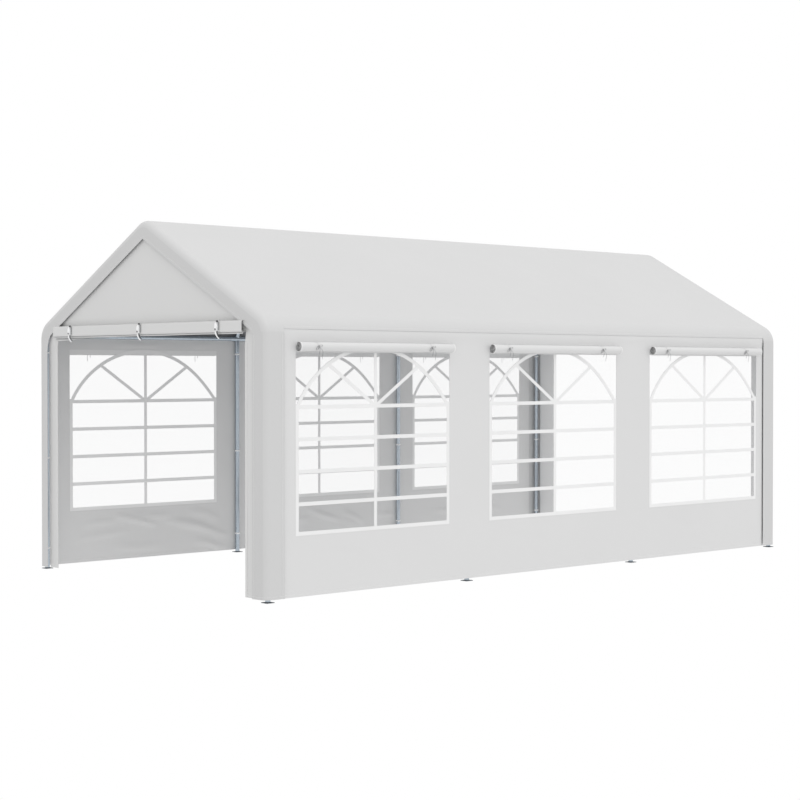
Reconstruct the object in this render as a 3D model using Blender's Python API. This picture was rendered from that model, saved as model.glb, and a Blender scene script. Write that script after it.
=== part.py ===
"""Party tent, 3 m wide and 6 m long, with roll-up window flaps and an open doorway in each gable.

Frame of reference: the origin is the middle of the footprint on the ground, +X runs across
the tent, +Y runs along it away from the front gable, and +Z is up. All lengths are in metres.
"""
import math

import bmesh
import bpy
from mathutils import Matrix, Vector

# Plan of the steel frame
POST_X = 1.48
FRAME_Y = (-2.95, -2.95 / 3, 2.95 / 3, 2.95)
TUBE_R = 0.019
SLEEVE_R = 0.0215
SLEEVE_REACH = 0.0815
TUBE_SIDES = 16
ROLL_SIDES = 20
GAP = 0.0003
CREASE = math.radians(35)

# Outside of the fabric
SKIN_X = 1.52
SKIN_Y = 3.0
SKIN_T = 0.002
SLOPE = math.radians(28.16)
RIDGE_Z = 2.786
RIDGE_R = 0.17
EAVE_R = 0.166
EAVE_TANGENT_Z = 1.895
EDGE_R = 0.05
HEM_Z = 1.937
CORNER_SEAM_Z = 1.915
GROUND_CLEARANCE = 0.022

# Border that the roof cover turns over each gable, and the corner covers below it
BORDER_W = 0.143
BORDER_LEG_X = 1.376
BORDER_EDGE_R = 0.10
BORDER_EDGE_Z = 1.850
BORDER_PEAK_X = 0.06
COVER_SIDE_FRONT = 0.172
COVER_SIDE_BACK = 0.187

# Side walls and their windows
WALL_OUT_X = 1.507
WALL_FRONT_Y = -2.955
WALL_BACK_Y = {"left": 2.865, "right": 2.812}
WALL_TOP_Z = 1.945
WINDOW_PITCH = 1.957
WINDOW_Y = (-WINDOW_PITCH, 0.0, WINDOW_PITCH)
WINDOW_W = 1.52
WINDOW_BOTTOM_Z = 0.459
WINDOW_TOP_Z = 1.775
FILM_T = 0.001

# Rolled window flaps and doors
FLAP_R = 0.0345
FLAP_L = 1.522
FLAP_Z = 1.812
DOOR_L = 2.536
DOOR_FRONT_Y = 3.02
DOOR_LOW_Z = 1.915
DOOR_HIGH_Z = 2.0
DOOR_EDGE_R = 0.011

# End panels
PANEL_T = 0.002
PANEL_IN_Y = FRAME_Y[3] + TUBE_R + GAP
PANEL_OUT_FRONT = 1.378
PANEL_OUT_BACK = 1.45
PANEL_JAMB_IN = 1.26
PANEL_INSET = 0.018
PANEL_HEAD_Z = 1.957

# Feet, and the rings on the posts that hold the walls
FOOT_SIDE = 0.072
FOOT_T = 0.004
CLIP_Z = (0.17, 0.917, 1.788)
CLIP_H = 0.012

# Worked out from the sizes above
EAVE_ARC_X = SKIN_X - EAVE_R
RISE = math.tan(SLOPE)
SLOPE_PEAK_Z = RIDGE_Z + RIDGE_R * (1 / math.cos(SLOPE) - 1)
RIDGE_ARC_Z = RIDGE_Z - RIDGE_R
NORMAL_ANGLE = math.pi / 2 - SLOPE
HEM_ANGLE = math.asin((HEM_Z - EAVE_TANGENT_Z) / EAVE_R)

# Bends of the roof frames: a knee over each post that follows the round eave from inside,
# touching the cover on the slope, and a bend that follows the round ridge
BEND_OUT_R = EAVE_R - SKIN_T - (SKIN_X - SKIN_T - POST_X - TUBE_R) / (1 - math.sin(SLOPE))
EAVE_BEND_R = BEND_OUT_R - TUBE_R
EAVE_SHIFT = EAVE_R - SKIN_T - BEND_OUT_R - GAP
EAVE_BEND_X = EAVE_ARC_X + EAVE_SHIFT * math.cos(NORMAL_ANGLE)
EAVE_KNEE_Z = EAVE_TANGENT_Z + EAVE_SHIFT * math.sin(NORMAL_ANGLE)
RIDGE_BEND_R = RIDGE_R - SKIN_T - GAP - TUBE_R
RIDGE_BAR_Z = RIDGE_Z - SKIN_T - GAP - SLEEVE_R


def clear_scene():
    """Start from an empty scene."""
    for item in list(bpy.data.objects):
        bpy.data.objects.remove(item, do_unlink=True)


def material(name, colour, roughness, metallic=0.0, alpha=1.0):
    """A plain Principled material."""
    made = bpy.data.materials.new(name)
    made.use_nodes = True
    shader = made.node_tree.nodes["Principled BSDF"]
    shader.inputs["Base Color"].default_value = (*colour, 1.0)
    shader.inputs["Roughness"].default_value = roughness
    shader.inputs["Metallic"].default_value = metallic
    shader.inputs["Alpha"].default_value = alpha
    made.diffuse_color = (*colour, alpha)
    return made


def add_object(name, mesh, finish, location=(0, 0, 0), turn=0.0):
    """Link a mesh to the scene under a name, smooth where it is round."""
    item = bpy.data.objects.new(name, mesh)
    bpy.context.collection.objects.link(item)
    item.location = location
    item.rotation_euler = (0, 0, turn)
    if finish is not None and not mesh.materials:
        mesh.materials.append(finish)
    mesh.shade_smooth()
    mesh.set_sharp_from_angle(angle=CREASE)
    return item


def mesh_from(bm, name):
    """Finish a bmesh as a mesh whose faces point out."""
    bmesh.ops.recalc_face_normals(bm, faces=bm.faces)
    mesh = bpy.data.meshes.new(name)
    bm.to_mesh(mesh)
    bm.free()
    return mesh


def swept_tube(name, path, sideways, radius, sides=TUBE_SIDES):
    """A closed round bar along a path that bends in the plane square to `sideways`."""
    bm = bmesh.new()
    across = Vector(sideways).normalized()
    points = [Vector(p) for p in path]
    rings = []
    for i, point in enumerate(points):
        before = (point - points[i - 1]).normalized() if i > 0 else None
        after = (points[i + 1] - point).normalized() if i < len(points) - 1 else None
        along = ((before or after) + (after or before)).normalized()
        stretch = 1.0 / max(0.2, along.dot(before or after))
        up = across.cross(along).normalized()
        ring = []
        for k in range(sides):
            angle = 2 * math.pi * k / sides
            offset = across * math.cos(angle) * radius + up * math.sin(angle) * radius * stretch
            ring.append(bm.verts.new(point + offset))
        rings.append(ring)
    for low, high in zip(rings, rings[1:]):
        for k in range(sides):
            nxt = (k + 1) % sides
            bm.faces.new((low[k], low[nxt], high[nxt], high[k]))
    bm.faces.new(list(reversed(rings[0])))
    bm.faces.new(rings[-1])
    return mesh_from(bm, name)


def box_mesh(name, low, high):
    """A block between two corners."""
    bm = bmesh.new()
    size = [b - a for a, b in zip(low, high)]
    middle = [(a + b) / 2 for a, b in zip(low, high)]
    bmesh.ops.create_cube(bm, size=1.0, matrix=Matrix.Translation(middle) @ Matrix.Diagonal((*size, 1)))
    return mesh_from(bm, name)


def combined(name, meshes, operation="UNION"):
    """One closed mesh: the first one, with the others joined to it or cut out of it."""
    operands = [add_object(f"{name}_piece_{i}", mesh, None) for i, mesh in enumerate(meshes)]
    for other in operands[1:]:
        step = operands[0].modifiers.new("combine", "BOOLEAN")
        step.operation = operation
        step.solver = "EXACT"
        step.object = other
    depsgraph = bpy.context.evaluated_depsgraph_get()
    result = bpy.data.meshes.new_from_object(operands[0].evaluated_get(depsgraph))
    result.name = name
    for item in operands:
        bpy.data.objects.remove(item, do_unlink=True)
    return result


def sheet_object(name, rows, finish, skip=(), thickness=SKIN_T):
    """A sheet given as rows of points, thickened on its inner side.

    Row by row the points run so that each face looks outwards. `skip` names the
    cells, as (row, column), that are left open.
    """
    bm = bmesh.new()
    grid = [[bm.verts.new(p) for p in row] for row in rows]
    for r in range(len(grid) - 1):
        for c in range(len(grid[0]) - 1):
            if (r, c) not in skip:
                bm.faces.new((grid[r][c], grid[r][c + 1], grid[r + 1][c + 1], grid[r + 1][c]))
    loose = [v for v in bm.verts if not v.link_faces]
    bmesh.ops.delete(bm, geom=loose, context="VERTS")
    mesh = bpy.data.meshes.new(name)
    bm.to_mesh(mesh)
    bm.free()
    item = add_object(name, mesh, finish)
    solid = item.modifiers.new("fabric thickness", "SOLIDIFY")
    solid.thickness = thickness
    solid.offset = -1.0
    solid.use_even_offset = True
    return item


def arc_angles(start, end, steps):
    """Evenly spaced angles, both ends included."""
    return [start + (end - start) * i / steps for i in range(steps + 1)]


def roof_half_section():
    """Right half of the roof's outer outline, hem to ridge, as (x, z, angle of the normal)."""
    seam = math.asin((CORNER_SEAM_Z - EAVE_TANGENT_Z) / EAVE_R)
    section = [(EAVE_ARC_X + EAVE_R * math.cos(seam), CORNER_SEAM_Z, 0.0)]
    for angle in arc_angles(HEM_ANGLE, NORMAL_ANGLE, 5):
        x = EAVE_ARC_X + EAVE_R * math.cos(angle)
        section.append((x, EAVE_TANGENT_Z + EAVE_R * math.sin(angle), angle))
    ridge = []
    for angle in arc_angles(NORMAL_ANGLE, math.pi / 2, 3):
        ridge.append((RIDGE_R * math.cos(angle), RIDGE_ARC_Z + RIDGE_R * math.sin(angle), angle))
    foot_x, foot_z, _ = section[-1]
    head_x, head_z, _ = ridge[0]
    for share in (1 / 3, 2 / 3):
        x = foot_x + (head_x - foot_x) * share
        section.append((x, foot_z + (head_z - foot_z) * share, NORMAL_ANGLE))
    return section + ridge


def border_half_edge(count_arc, count_slope, count_ridge):
    """Right half of the border's inner edge, with as many points as the roof's outline."""
    centre_x = BORDER_LEG_X - BORDER_EDGE_R
    edge = []
    start = math.asin((CORNER_SEAM_Z - BORDER_EDGE_Z) / BORDER_EDGE_R)
    for angle in arc_angles(start, NORMAL_ANGLE, count_arc):
        x = centre_x + BORDER_EDGE_R * math.cos(angle)
        edge.append((x, BORDER_EDGE_Z + BORDER_EDGE_R * math.sin(angle)))
    foot_x, foot_z = edge[-1]
    peak_z = SLOPE_PEAK_Z - BORDER_W / math.cos(SLOPE)
    for i in range(1, count_slope + 1):
        x = foot_x + (BORDER_PEAK_X - foot_x) * i / count_slope
        z_here = foot_z + (peak_z - BORDER_PEAK_X * RISE - foot_z) * i / count_slope
        edge.append((x, z_here))
    for i in range(1, count_ridge + 1):
        x = BORDER_PEAK_X * (1 - i / count_ridge)
        edge.append((x, peak_z - x * RISE))
    return edge


def mirrored(half):
    """The half outline with its mirror image, left hem to right hem, without a double ridge point."""
    return [(-p[0],) + tuple(p[1:]) for p in half[:-1]] + list(reversed(half))


def make_roof_cover(fabric):
    """The roof cover: two slopes, round eaves and ridge, and a border down over each gable."""
    half = roof_half_section()
    outline = mirrored([(x, z, a) for x, z, a in half])
    edge = mirrored(border_half_edge(6, 3, 3))
    rounding = arc_angles(math.pi / 2, 0.0, 4)

    def rounded(point, side, turn):
        x, z, angle = point
        sink = EDGE_R * (1 - math.cos(turn))
        across = -math.cos(angle) if x < 0 else math.cos(angle)
        y = side * (SKIN_Y - EDGE_R + EDGE_R * math.sin(turn))
        return (x - across * sink, y, z - math.sin(angle) * sink)

    rows = []
    for point, inner in zip(outline, edge):
        row = [(inner[0], -SKIN_Y, inner[1])]
        row += [rounded(point, -1, turn) for turn in rounding]
        for y in (-SKIN_Y + COVER_SIDE_FRONT, FRAME_Y[1], FRAME_Y[2], SKIN_Y - COVER_SIDE_BACK):
            row.append((point[0], y, point[1]))
        row += [rounded(point, 1, turn) for turn in reversed(rounding)]
        row.append((inner[0], SKIN_Y, inner[1]))
        rows.append(row)
    tabs = len(rounding)
    last = len(rows) - 2
    open_cells = [(r, tabs + 1 + i) for r in (0, last) for i in range(3)]
    rows = [list(reversed(row)) for row in rows]
    width = len(rows[0]) - 2
    open_cells = [(r, width - c) for r, c in open_cells]
    return sheet_object("roof_cover", rows, fabric, skip=open_cells)


def border_edge_x(z):
    """Where the border's inner edge stands at a height below the roof seam."""
    if z <= BORDER_EDGE_Z:
        return BORDER_LEG_X
    drop = z - BORDER_EDGE_Z
    return BORDER_LEG_X - BORDER_EDGE_R + math.sqrt(BORDER_EDGE_R ** 2 - drop ** 2)


def eave_inset(z):
    """How far the outside of the tent has curved in at a height above the eave's tangent."""
    rise = max(0.0, z - EAVE_TANGENT_Z)
    return EAVE_R - math.sqrt(EAVE_R ** 2 - rise ** 2)


def make_corner_cover(name, side_x, side_y, side_width, fabric):
    """The cover over one corner post, an angle of fabric from the roof cover to the ground."""
    bend = (BORDER_EDGE_Z + EAVE_TANGENT_Z) / 2
    heights = [GROUND_CLEARANCE, BORDER_EDGE_Z, bend, EAVE_TANGENT_Z, CORNER_SEAM_Z - 2 * GAP]
    rows = []
    for z in heights:
        out_x = SKIN_X - eave_inset(z)
        row = [(border_edge_x(z), SKIN_Y)]
        for turn in arc_angles(math.pi / 2, 0.0, 4):
            x = out_x - EDGE_R + EDGE_R * math.cos(turn)
            row.append((x, SKIN_Y - EDGE_R + EDGE_R * math.sin(turn)))
        row.append((out_x, SKIN_Y - side_width))
        rows.append([(side_x * x, side_y * y, z) for x, y in row])
    if side_x * side_y > 0:
        rows = [list(reversed(row)) for row in rows]
    return sheet_object(name, rows, fabric)


def make_side_wall(name, side, back_y, fabric):
    """One long wall with its three window openings."""
    half = WINDOW_W / 2
    ys = [WALL_FRONT_Y]
    for centre in WINDOW_Y:
        ys += [centre - half, centre + half]
    ys.append(back_y)
    zs = [GROUND_CLEARANCE, WINDOW_BOTTOM_Z, WINDOW_TOP_Z, WALL_TOP_Z]
    rows = [[(side * WALL_OUT_X, y, z) for y in ys] for z in zs]
    holes = [(1, 1), (1, 3), (1, 5)]
    if side < 0:
        rows = [list(reversed(row)) for row in rows]
    return sheet_object(name, rows, fabric, skip=holes)


def make_window(name, side, centre, film):
    """The clear film that closes one window."""
    half = WINDOW_W / 2 - GAP
    outer = WALL_OUT_X - (SKIN_T - FILM_T) / 2
    low = (outer - FILM_T, centre - half, WINDOW_BOTTOM_Z + GAP)
    high = (outer, centre + half, WINDOW_TOP_Z - GAP)
    if side < 0:
        low, high = (-high[0], low[1], low[2]), (-low[0], high[1], high[2])
    return add_object(name, box_mesh(name, low, high), film)


def panel_top_z(x):
    """Top edge of a gable panel, which follows the roof a little below its outside."""
    radius = RIDGE_R - PANEL_INSET
    if abs(x) <= radius * math.cos(NORMAL_ANGLE):
        return RIDGE_ARC_Z + math.sqrt(radius ** 2 - x ** 2)
    return SLOPE_PEAK_Z - PANEL_INSET / math.cos(SLOPE) - abs(x) * RISE


def make_end_panel(name, side, out_x, fabric):
    """The gable panel: the triangle under the roof and the strip at each side of the doorway."""
    y = side * (PANEL_IN_Y + PANEL_T)
    low = GROUND_CLEARANCE
    round_x = (RIDGE_R - PANEL_INSET) * math.cos(NORMAL_ANGLE)
    half = [round_x / 2, round_x, PANEL_JAMB_IN, out_x]
    columns = [-x for x in reversed(half)] + [0.0] + half
    rows = [[(x, y, low) for x in columns]]
    rows.append([(x, y, PANEL_HEAD_Z) for x in columns])
    rows.append([(x, y, panel_top_z(x)) for x in columns])
    if side > 0:
        rows = [list(reversed(row)) for row in rows]
    doorway = [(0, c) for c in range(1, len(columns) - 2)]
    return sheet_object(name, rows, fabric, skip=doorway, thickness=PANEL_T)


def make_flap_roll(name, x, centre, fabric):
    """A window flap, rolled up above its window."""
    ends = [(x, centre + side * FLAP_L / 2, FLAP_Z) for side in (-1, 1)]
    return add_object(name, swept_tube(name, ends, (0, 0, 1), FLAP_R, sides=ROLL_SIDES), fabric)


def extruded(name, outline, start, end):
    """A block with an outline of points, run along the line from `start` to `end`."""
    bm = bmesh.new()
    face = bm.faces.new([bm.verts.new(Vector(start) + Vector(p)) for p in outline])
    made = bmesh.ops.extrude_face_region(bm, geom=[face])["geom"]
    moved = [item for item in made if isinstance(item, bmesh.types.BMVert)]
    bmesh.ops.translate(bm, verts=moved, vec=Vector(end) - Vector(start))
    return mesh_from(bm, name)


def door_roll_mesh():
    """The front door, rolled up flat against its gable, with room behind it for the border's edge."""
    back_y = PANEL_IN_Y + PANEL_T + GAP
    front, back = DOOR_FRONT_Y - DOOR_EDGE_R, back_y + DOOR_EDGE_R
    low, high = DOOR_LOW_Z + DOOR_EDGE_R, DOOR_HIGH_Z - DOOR_EDGE_R
    outline = []
    for i, (middle_y, middle_z) in enumerate(((front, low), (front, high), (back, high), (back, low))):
        for angle in arc_angles((i - 1) * math.pi / 2, i * math.pi / 2, 3):
            round_y = middle_y + DOOR_EDGE_R * math.cos(angle)
            outline.append((0, -round_y, middle_z + DOOR_EDGE_R * math.sin(angle)))
    roll = extruded("roll", outline, (-DOOR_L / 2, 0, 0), (DOOR_L / 2, 0, 0))
    peak_z = SLOPE_PEAK_Z - BORDER_W / math.cos(SLOPE) - GAP / math.cos(SLOPE)
    low_x = DOOR_L / 2 + DOOR_EDGE_R
    high_z = DOOR_HIGH_Z + DOOR_EDGE_R
    cuts = []
    for side in (-1, 1):
        notch = [(low_x, peak_z - low_x * RISE), (low_x, high_z), ((peak_z - high_z) / RISE, high_z)]
        outline = [(side * x, 0, z) for x, z in notch]
        cuts.append(extruded("notch", outline, (0, -SKIN_Y - GAP, 0), (0, DOOR_EDGE_R - back_y, 0)))
    return combined("door roll", [roll] + cuts, "DIFFERENCE")


def post_mesh():
    """A leg: a tube on its square foot plate, with the rings that hold the wall."""
    plate = FOOT_SIDE / 2
    foot = box_mesh("foot", (-plate, -plate, 0), (plate, plate, FOOT_T))
    top = EAVE_KNEE_Z - SLEEVE_R - GAP
    tube = swept_tube("tube", ((0, 0, FOOT_T / 2), (0, 0, top)), (1, 0, 0), TUBE_R)
    rings = []
    for height in CLIP_Z:
        ends = ((0, 0, height - CLIP_H / 2), (0, 0, height + CLIP_H / 2))
        rings.append(swept_tube("ring", ends, (1, 0, 0), WALL_OUT_X - SKIN_T - GAP - POST_X))
    return combined("post", [foot, tube] + rings)


def rafter_path():
    """Centre line of a roof frame: up out of the eave, over the ridge and down again."""
    half = [(POST_X, EAVE_KNEE_Z - SLEEVE_R)]
    for angle in [0.0] + arc_angles(HEM_ANGLE, NORMAL_ANGLE, 5):
        x = EAVE_BEND_X + EAVE_BEND_R * math.cos(angle)
        half.append((x, EAVE_KNEE_Z + EAVE_BEND_R * math.sin(angle)))
    for angle in arc_angles(NORMAL_ANGLE, math.pi / 2, 3):
        half.append((RIDGE_BEND_R * math.cos(angle), RIDGE_ARC_Z + RIDGE_BEND_R * math.sin(angle)))
    return [(x, 0.0, z) for x, z in mirrored(half)]


def roof_frame_mesh(name, reach_back):
    """A bent pair of rafters with the sleeves that take the ridge bar and the eave bars."""
    parts = [swept_tube("rafters", rafter_path(), (0, 1, 0), TUBE_R)]
    for x, z in ((-POST_X, EAVE_KNEE_Z), (0.0, RIDGE_BAR_Z), (POST_X, EAVE_KNEE_Z)):
        ends = ((x, -reach_back, z), (x, SLEEVE_REACH, z))
        parts.append(swept_tube("sleeve", ends, (1, 0, 0), SLEEVE_R))
    return combined(name, parts)


def bar_spans():
    """Start and end of each bar between two roof frames."""
    spans = []
    for near, far in zip(FRAME_Y, FRAME_Y[1:]):
        spans.append((near + SLEEVE_REACH + GAP, far - SLEEVE_REACH - GAP))
    return spans


def make_bar(name, x, z, start, end, steel):
    """A straight bar along the tent."""
    mesh = swept_tube(name, ((x, start, z), (x, end, z)), (1, 0, 0), TUBE_R)
    return add_object(name, mesh, steel)


def make_frame(steel):
    """Posts, roof frames, ridge bars and eave bars."""
    post = post_mesh()
    for row, y in zip(("front", "2", "3", "back"), FRAME_Y):
        for side, x in (("left", -POST_X), ("right", POST_X)):
            add_object(f"post_{row}_{side}", post, steel, location=(x, y, 0))
    end_frame = roof_frame_mesh("end roof frame", 0.0)
    middle_frame = roof_frame_mesh("middle roof frame", SLEEVE_REACH)
    add_object("roof_frame_front", end_frame, steel, location=(0, FRAME_Y[0], 0))
    add_object("roof_frame_2", middle_frame, steel, location=(0, FRAME_Y[1], 0))
    add_object("roof_frame_3", middle_frame, steel, location=(0, FRAME_Y[2], 0))
    add_object("roof_frame_back", end_frame, steel, location=(0, FRAME_Y[3], 0), turn=math.pi)
    for i, (start, end) in enumerate(bar_spans(), 1):
        make_bar(f"ridge_bar_{i}", 0.0, RIDGE_BAR_Z, start, end, steel)
        make_bar(f"eave_bar_left_{i}", -POST_X, EAVE_KNEE_Z, start, end, steel)
        make_bar(f"eave_bar_right_{i}", POST_X, EAVE_KNEE_Z, start, end, steel)


def make_covers(fabric, film):
    """Every piece of fabric and film."""
    make_roof_cover(fabric)
    make_corner_cover("corner_cover_front_left", -1, -1, COVER_SIDE_FRONT, fabric)
    make_corner_cover("corner_cover_front_right", 1, -1, COVER_SIDE_FRONT, fabric)
    make_corner_cover("corner_cover_back_left", -1, 1, COVER_SIDE_BACK, fabric)
    make_corner_cover("corner_cover_back_right", 1, 1, COVER_SIDE_BACK, fabric)
    door = door_roll_mesh()
    make_end_panel("end_panel_front", -1, PANEL_OUT_FRONT, fabric)
    make_end_panel("end_panel_back", 1, PANEL_OUT_BACK, fabric)
    add_object("door_roll_front", door, fabric)
    add_object("door_roll_back", door, fabric, turn=math.pi)
    flap_x = WALL_OUT_X + GAP + FLAP_R
    for word, side in (("left", -1), ("right", 1)):
        make_side_wall(f"side_wall_{word}", side, WALL_BACK_Y[word], fabric)
        for i, centre in enumerate(WINDOW_Y, 1):
            make_window(f"window_{word}_{i}", side, centre, film)
            make_flap_roll(f"window_flap_{word}_{i}", side * flap_x, centre, fabric)


def main():
    clear_scene()
    steel = material("galvanised steel", (0.42, 0.46, 0.50), 0.38, metallic=0.85)
    fabric = material("white tent fabric", (0.80, 0.80, 0.80), 0.55)
    film = material("clear window film", (0.93, 0.94, 0.94), 0.12, alpha=0.25)
    make_frame(steel)
    make_covers(fabric, film)


main()
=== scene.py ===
"""Looks of a white party tent, 3 m by 6 m, with roll-up window flaps.

Lengths are in metres. +X runs across the tent, +Y runs along it away from the front gable, and +Z
is up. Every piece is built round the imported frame, whose boxes give the main places.
"""
import math

import bmesh
import bpy
import numpy as np
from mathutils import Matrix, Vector, noise


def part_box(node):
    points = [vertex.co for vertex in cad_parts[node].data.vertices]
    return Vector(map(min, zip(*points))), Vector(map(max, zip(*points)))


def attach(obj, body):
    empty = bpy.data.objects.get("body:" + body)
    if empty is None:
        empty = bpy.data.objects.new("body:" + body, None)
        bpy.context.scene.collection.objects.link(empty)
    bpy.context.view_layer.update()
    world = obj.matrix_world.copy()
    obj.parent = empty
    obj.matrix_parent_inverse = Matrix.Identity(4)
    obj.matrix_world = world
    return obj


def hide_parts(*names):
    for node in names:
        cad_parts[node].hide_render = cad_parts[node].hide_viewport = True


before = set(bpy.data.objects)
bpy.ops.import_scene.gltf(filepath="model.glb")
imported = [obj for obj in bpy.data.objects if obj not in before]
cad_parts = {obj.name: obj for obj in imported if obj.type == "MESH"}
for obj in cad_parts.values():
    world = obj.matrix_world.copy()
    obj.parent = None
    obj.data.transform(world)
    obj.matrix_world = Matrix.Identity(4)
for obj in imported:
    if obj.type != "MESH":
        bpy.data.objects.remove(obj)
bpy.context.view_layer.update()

ACROSS, ALONG, UP = Vector((1, 0, 0)), Vector((0, 1, 0)), Vector((0, 0, 1))
ROWS = ("front", "2", "3", "back")
SIDES = (("left", -1), ("right", 1))


def span(name, axis):
    """Middle and half length of a node's box along an axis."""
    low, high = (corner[axis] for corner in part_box(name))
    return (low + high) / 2, (high - low) / 2


# Steel frame
POST_X = 1.48
FRAME_Y = (-2.95, -2.95 / 3, 2.95 / 3, 2.95)
BAY = FRAME_Y[1] - FRAME_Y[0]
TUBE_R = 0.019
SLEEVE_R = 0.0215
SLEEVE_REACH = 0.0815
BOLT_SHARE = 0.62
BAR_Z = span("eave_bar_right_1", 2)[0]
RIDGE_BAR_Z = span("ridge_bar_1", 2)[0]
FOOT_SIDE = 0.072
FOOT_T = 0.004
TUBE_MARKS_Z = (0.60, 1.30)
TIE_Z = (0.17, 0.917, 1.788)
TIE_RING_R, TIE_RING_HALF = 0.0244, 0.0055
SEAT_GAP = 0.0003

# Outside of the roof cover
SKIN_X, SKIN_Y, RIDGE_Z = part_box("roof_cover")[1]
SKIN_T = 0.002
SLOPE = math.radians(28.16)
RISE = math.tan(SLOPE)
NORMAL_ANGLE = math.pi / 2 - SLOPE
RIDGE_R = 0.17
RIDGE_ARC_Z = RIDGE_Z - RIDGE_R
SLOPE_PEAK_Z = RIDGE_Z + RIDGE_R * (1 / math.cos(SLOPE) - 1)
EAVE_R = 0.166
EAVE_ARC_X = SKIN_X - EAVE_R
EAVE_TANGENT_Z = 1.895
EDGE_R = 0.05
HEM_Z = 1.937
HEM_ANGLE = math.asin((HEM_Z - EAVE_TANGENT_Z) / EAVE_R)
SEAM_Z = 1.915
ROOF_SAG = 0.006
EAVE_STEPS, SLOPE_STEPS, RIDGE_STEPS = 18, 34, 9
EDGE_STEPS, BORDER_STEPS = 10, 5

# Border over the gables and the corner covers below it
BORDER_W = 0.143
BORDER_LEG_X = 1.376
BORDER_EDGE_R = 0.10
BORDER_EDGE_Z = 1.850
BORDER_PEAK_X = 0.06
COVER_SIDE = {-1: 0.172, 1: 0.187}
COVER_STEPS, CORNER_STEPS = 6, 12

# Side walls
(_, _, GROUND_CLEARANCE), (WALL_X, _, WALL_TOP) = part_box("side_wall_right")
WALL_FRONT_Y = -2.955
WALL_BACK_Y = {-1: 2.865, 1: 2.925}
WALL_TURN_Y = {-1: 2.87, 1: 2.806}
WALL_TURN_RUN, WALL_TURN_IN = 0.09, 0.046
WALL_LEAN = 0.0045

# Windows
WINDOW_Y = (-1.957, 0.0, 1.957)
WINDOW_HALF = 0.760
WINDOW_LOW = 0.459
WINDOW_TOP = 1.775
BINDING_W, BINDING_RISE = 0.010, 0.0004
BAND_W, BAND_UP, BAND_ROWS = 0.040, 0.021, (-0.42, 0.42)
FILM_X = span("window_right_1", 0)[0]
FILM_T = 0.0005
BAR_W = 0.028
ARCH_BASE = 1.379
ARCH_Z = 0.9486
ARCH_R = 0.8594
ARCH_SWING = math.acos((ARCH_BASE - ARCH_Z) / ARCH_R)
ARCH_LEAN = (-0.0215, -0.0095)
ARCH_STEPS, RAY_STEPS = 56, 600
BAR_PITCH = 0.2315
RAY_TURN = math.radians(34)
RAY_START = 0.012

# Creases of the side walls, each a line of (y, z), a width and a depth
FAR_FOLDS = (
    (((-2.28, 0.40), (-2.03, 0.345), (-1.84, 0.295)), 0.021, 0.0162),
    (((-2.12, 0.405), (-1.90, 0.375), (-1.66, 0.372)), 0.024, 0.0087),
    (((-1.76, 0.325), (-1.50, 0.292), (-1.37, 0.262), (-1.19, 0.185), (-1.06, 0.150)), 0.022, 0.0152),
    (((-1.66, 0.285), (-1.45, 0.250), (-1.26, 0.200)), 0.018, 0.0077),
    (((-1.44, 0.130), (-1.30, 0.108), (-1.20, 0.070), (-1.10, 0.035)), 0.018, 0.0130),
    (((-1.52, 0.395), (-1.32, 0.370), (-1.16, 0.300)), 0.027, 0.0097),
    (((-2.60, 0.335), (-2.42, 0.352), (-2.24, 0.352)), 0.019, 0.0077),
    (((-2.66, 0.215), (-2.40, 0.240), (-2.12, 0.262)), 0.022, 0.0065),
    (((-2.30, 0.130), (-2.05, 0.110), (-1.80, 0.120)), 0.027, 0.0065),
    (((-2.30, 1.868), (-2.05, 1.862), (-1.80, 1.860)), 0.010, 0.0065),
    (((-1.52, 1.872), (-1.34, 1.868), (-1.16, 1.874)), 0.010, 0.0065),
    (((-0.14, 0.350), (0.05, 0.275), (0.27, 0.215)), 0.019, 0.0152),
    (((0.30, 0.290), (0.40, 0.255), (0.57, 0.175)), 0.019, 0.0152),
    (((0.30, 0.225), (0.38, 0.190), (0.48, 0.140)), 0.016, 0.0109),
    (((-0.55, 0.280), (-0.30, 0.250), (-0.10, 0.245)), 0.024, 0.0087),
    (((0.68, 0.255), (0.83, 0.244), (1.00, 0.236)), 0.014, 0.0097),
    (((1.46, 0.248), (1.60, 0.240), (1.74, 0.236)), 0.014, 0.0097),
    (((1.95, 0.330), (2.20, 0.280), (2.45, 0.180)), 0.021, 0.0130),
)
NEAR_FOLDS = (
    (((0.92, 1.02), (0.99, 0.93), (1.02, 0.86)), 0.020, 0.0016),
    (((-2.62, 0.36), (-2.30, 0.31), (-2.02, 0.30)), 0.040, 0.0014),
    (((-0.66, 0.37), (-0.30, 0.28), (0.06, 0.25)), 0.045, 0.0016),
    (((1.40, 0.36), (1.72, 0.28), (2.10, 0.27)), 0.045, 0.0016),
)
WALL_FOLDS = {-1: FAR_FOLDS, 1: NEAR_FOLDS}

# Heights of the gentle waves in each kind of cloth, and how far a tie squeezes a roll
ROOF_WAVE, COVER_WAVE, PANEL_WAVE, FILM_WAVE = 0.0012, 0.0014, 0.0012, 0.0004
WALL_WAVE = {-1: 0.0030, 1: 0.0012}
FLAP_WAVE, DOOR_WAVE = 0.0004, 0.0005
SQUEEZE = 0.0016

# Rolled flaps and their ties
FLAP_HALF = span("window_flap_right_1", 1)[1]
FLAP_Z, FLAP_R = span("window_flap_right_1", 2)
FLAP_X = WALL_X + SEAT_GAP + FLAP_R
ROLL_PITCH = 0.0029
ROLL_T = 0.0009
ROLL_CORE = 0.004
ROLL_LEAD = 9
ROLL_STEPS = 26
FLAP_TIES = {-1: (-0.507, 0.612), 1: (-0.603, 0.512)}
TIE_W = 0.006
TIE_ENDS = ((0.028, 1.720), (0.0, 1.751))
BOW_ANGLE = math.radians(6)
BOW_LOOPS = ((0.028, 0.007, math.radians(8)), (-0.040, 0.008, math.radians(46)))

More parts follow.
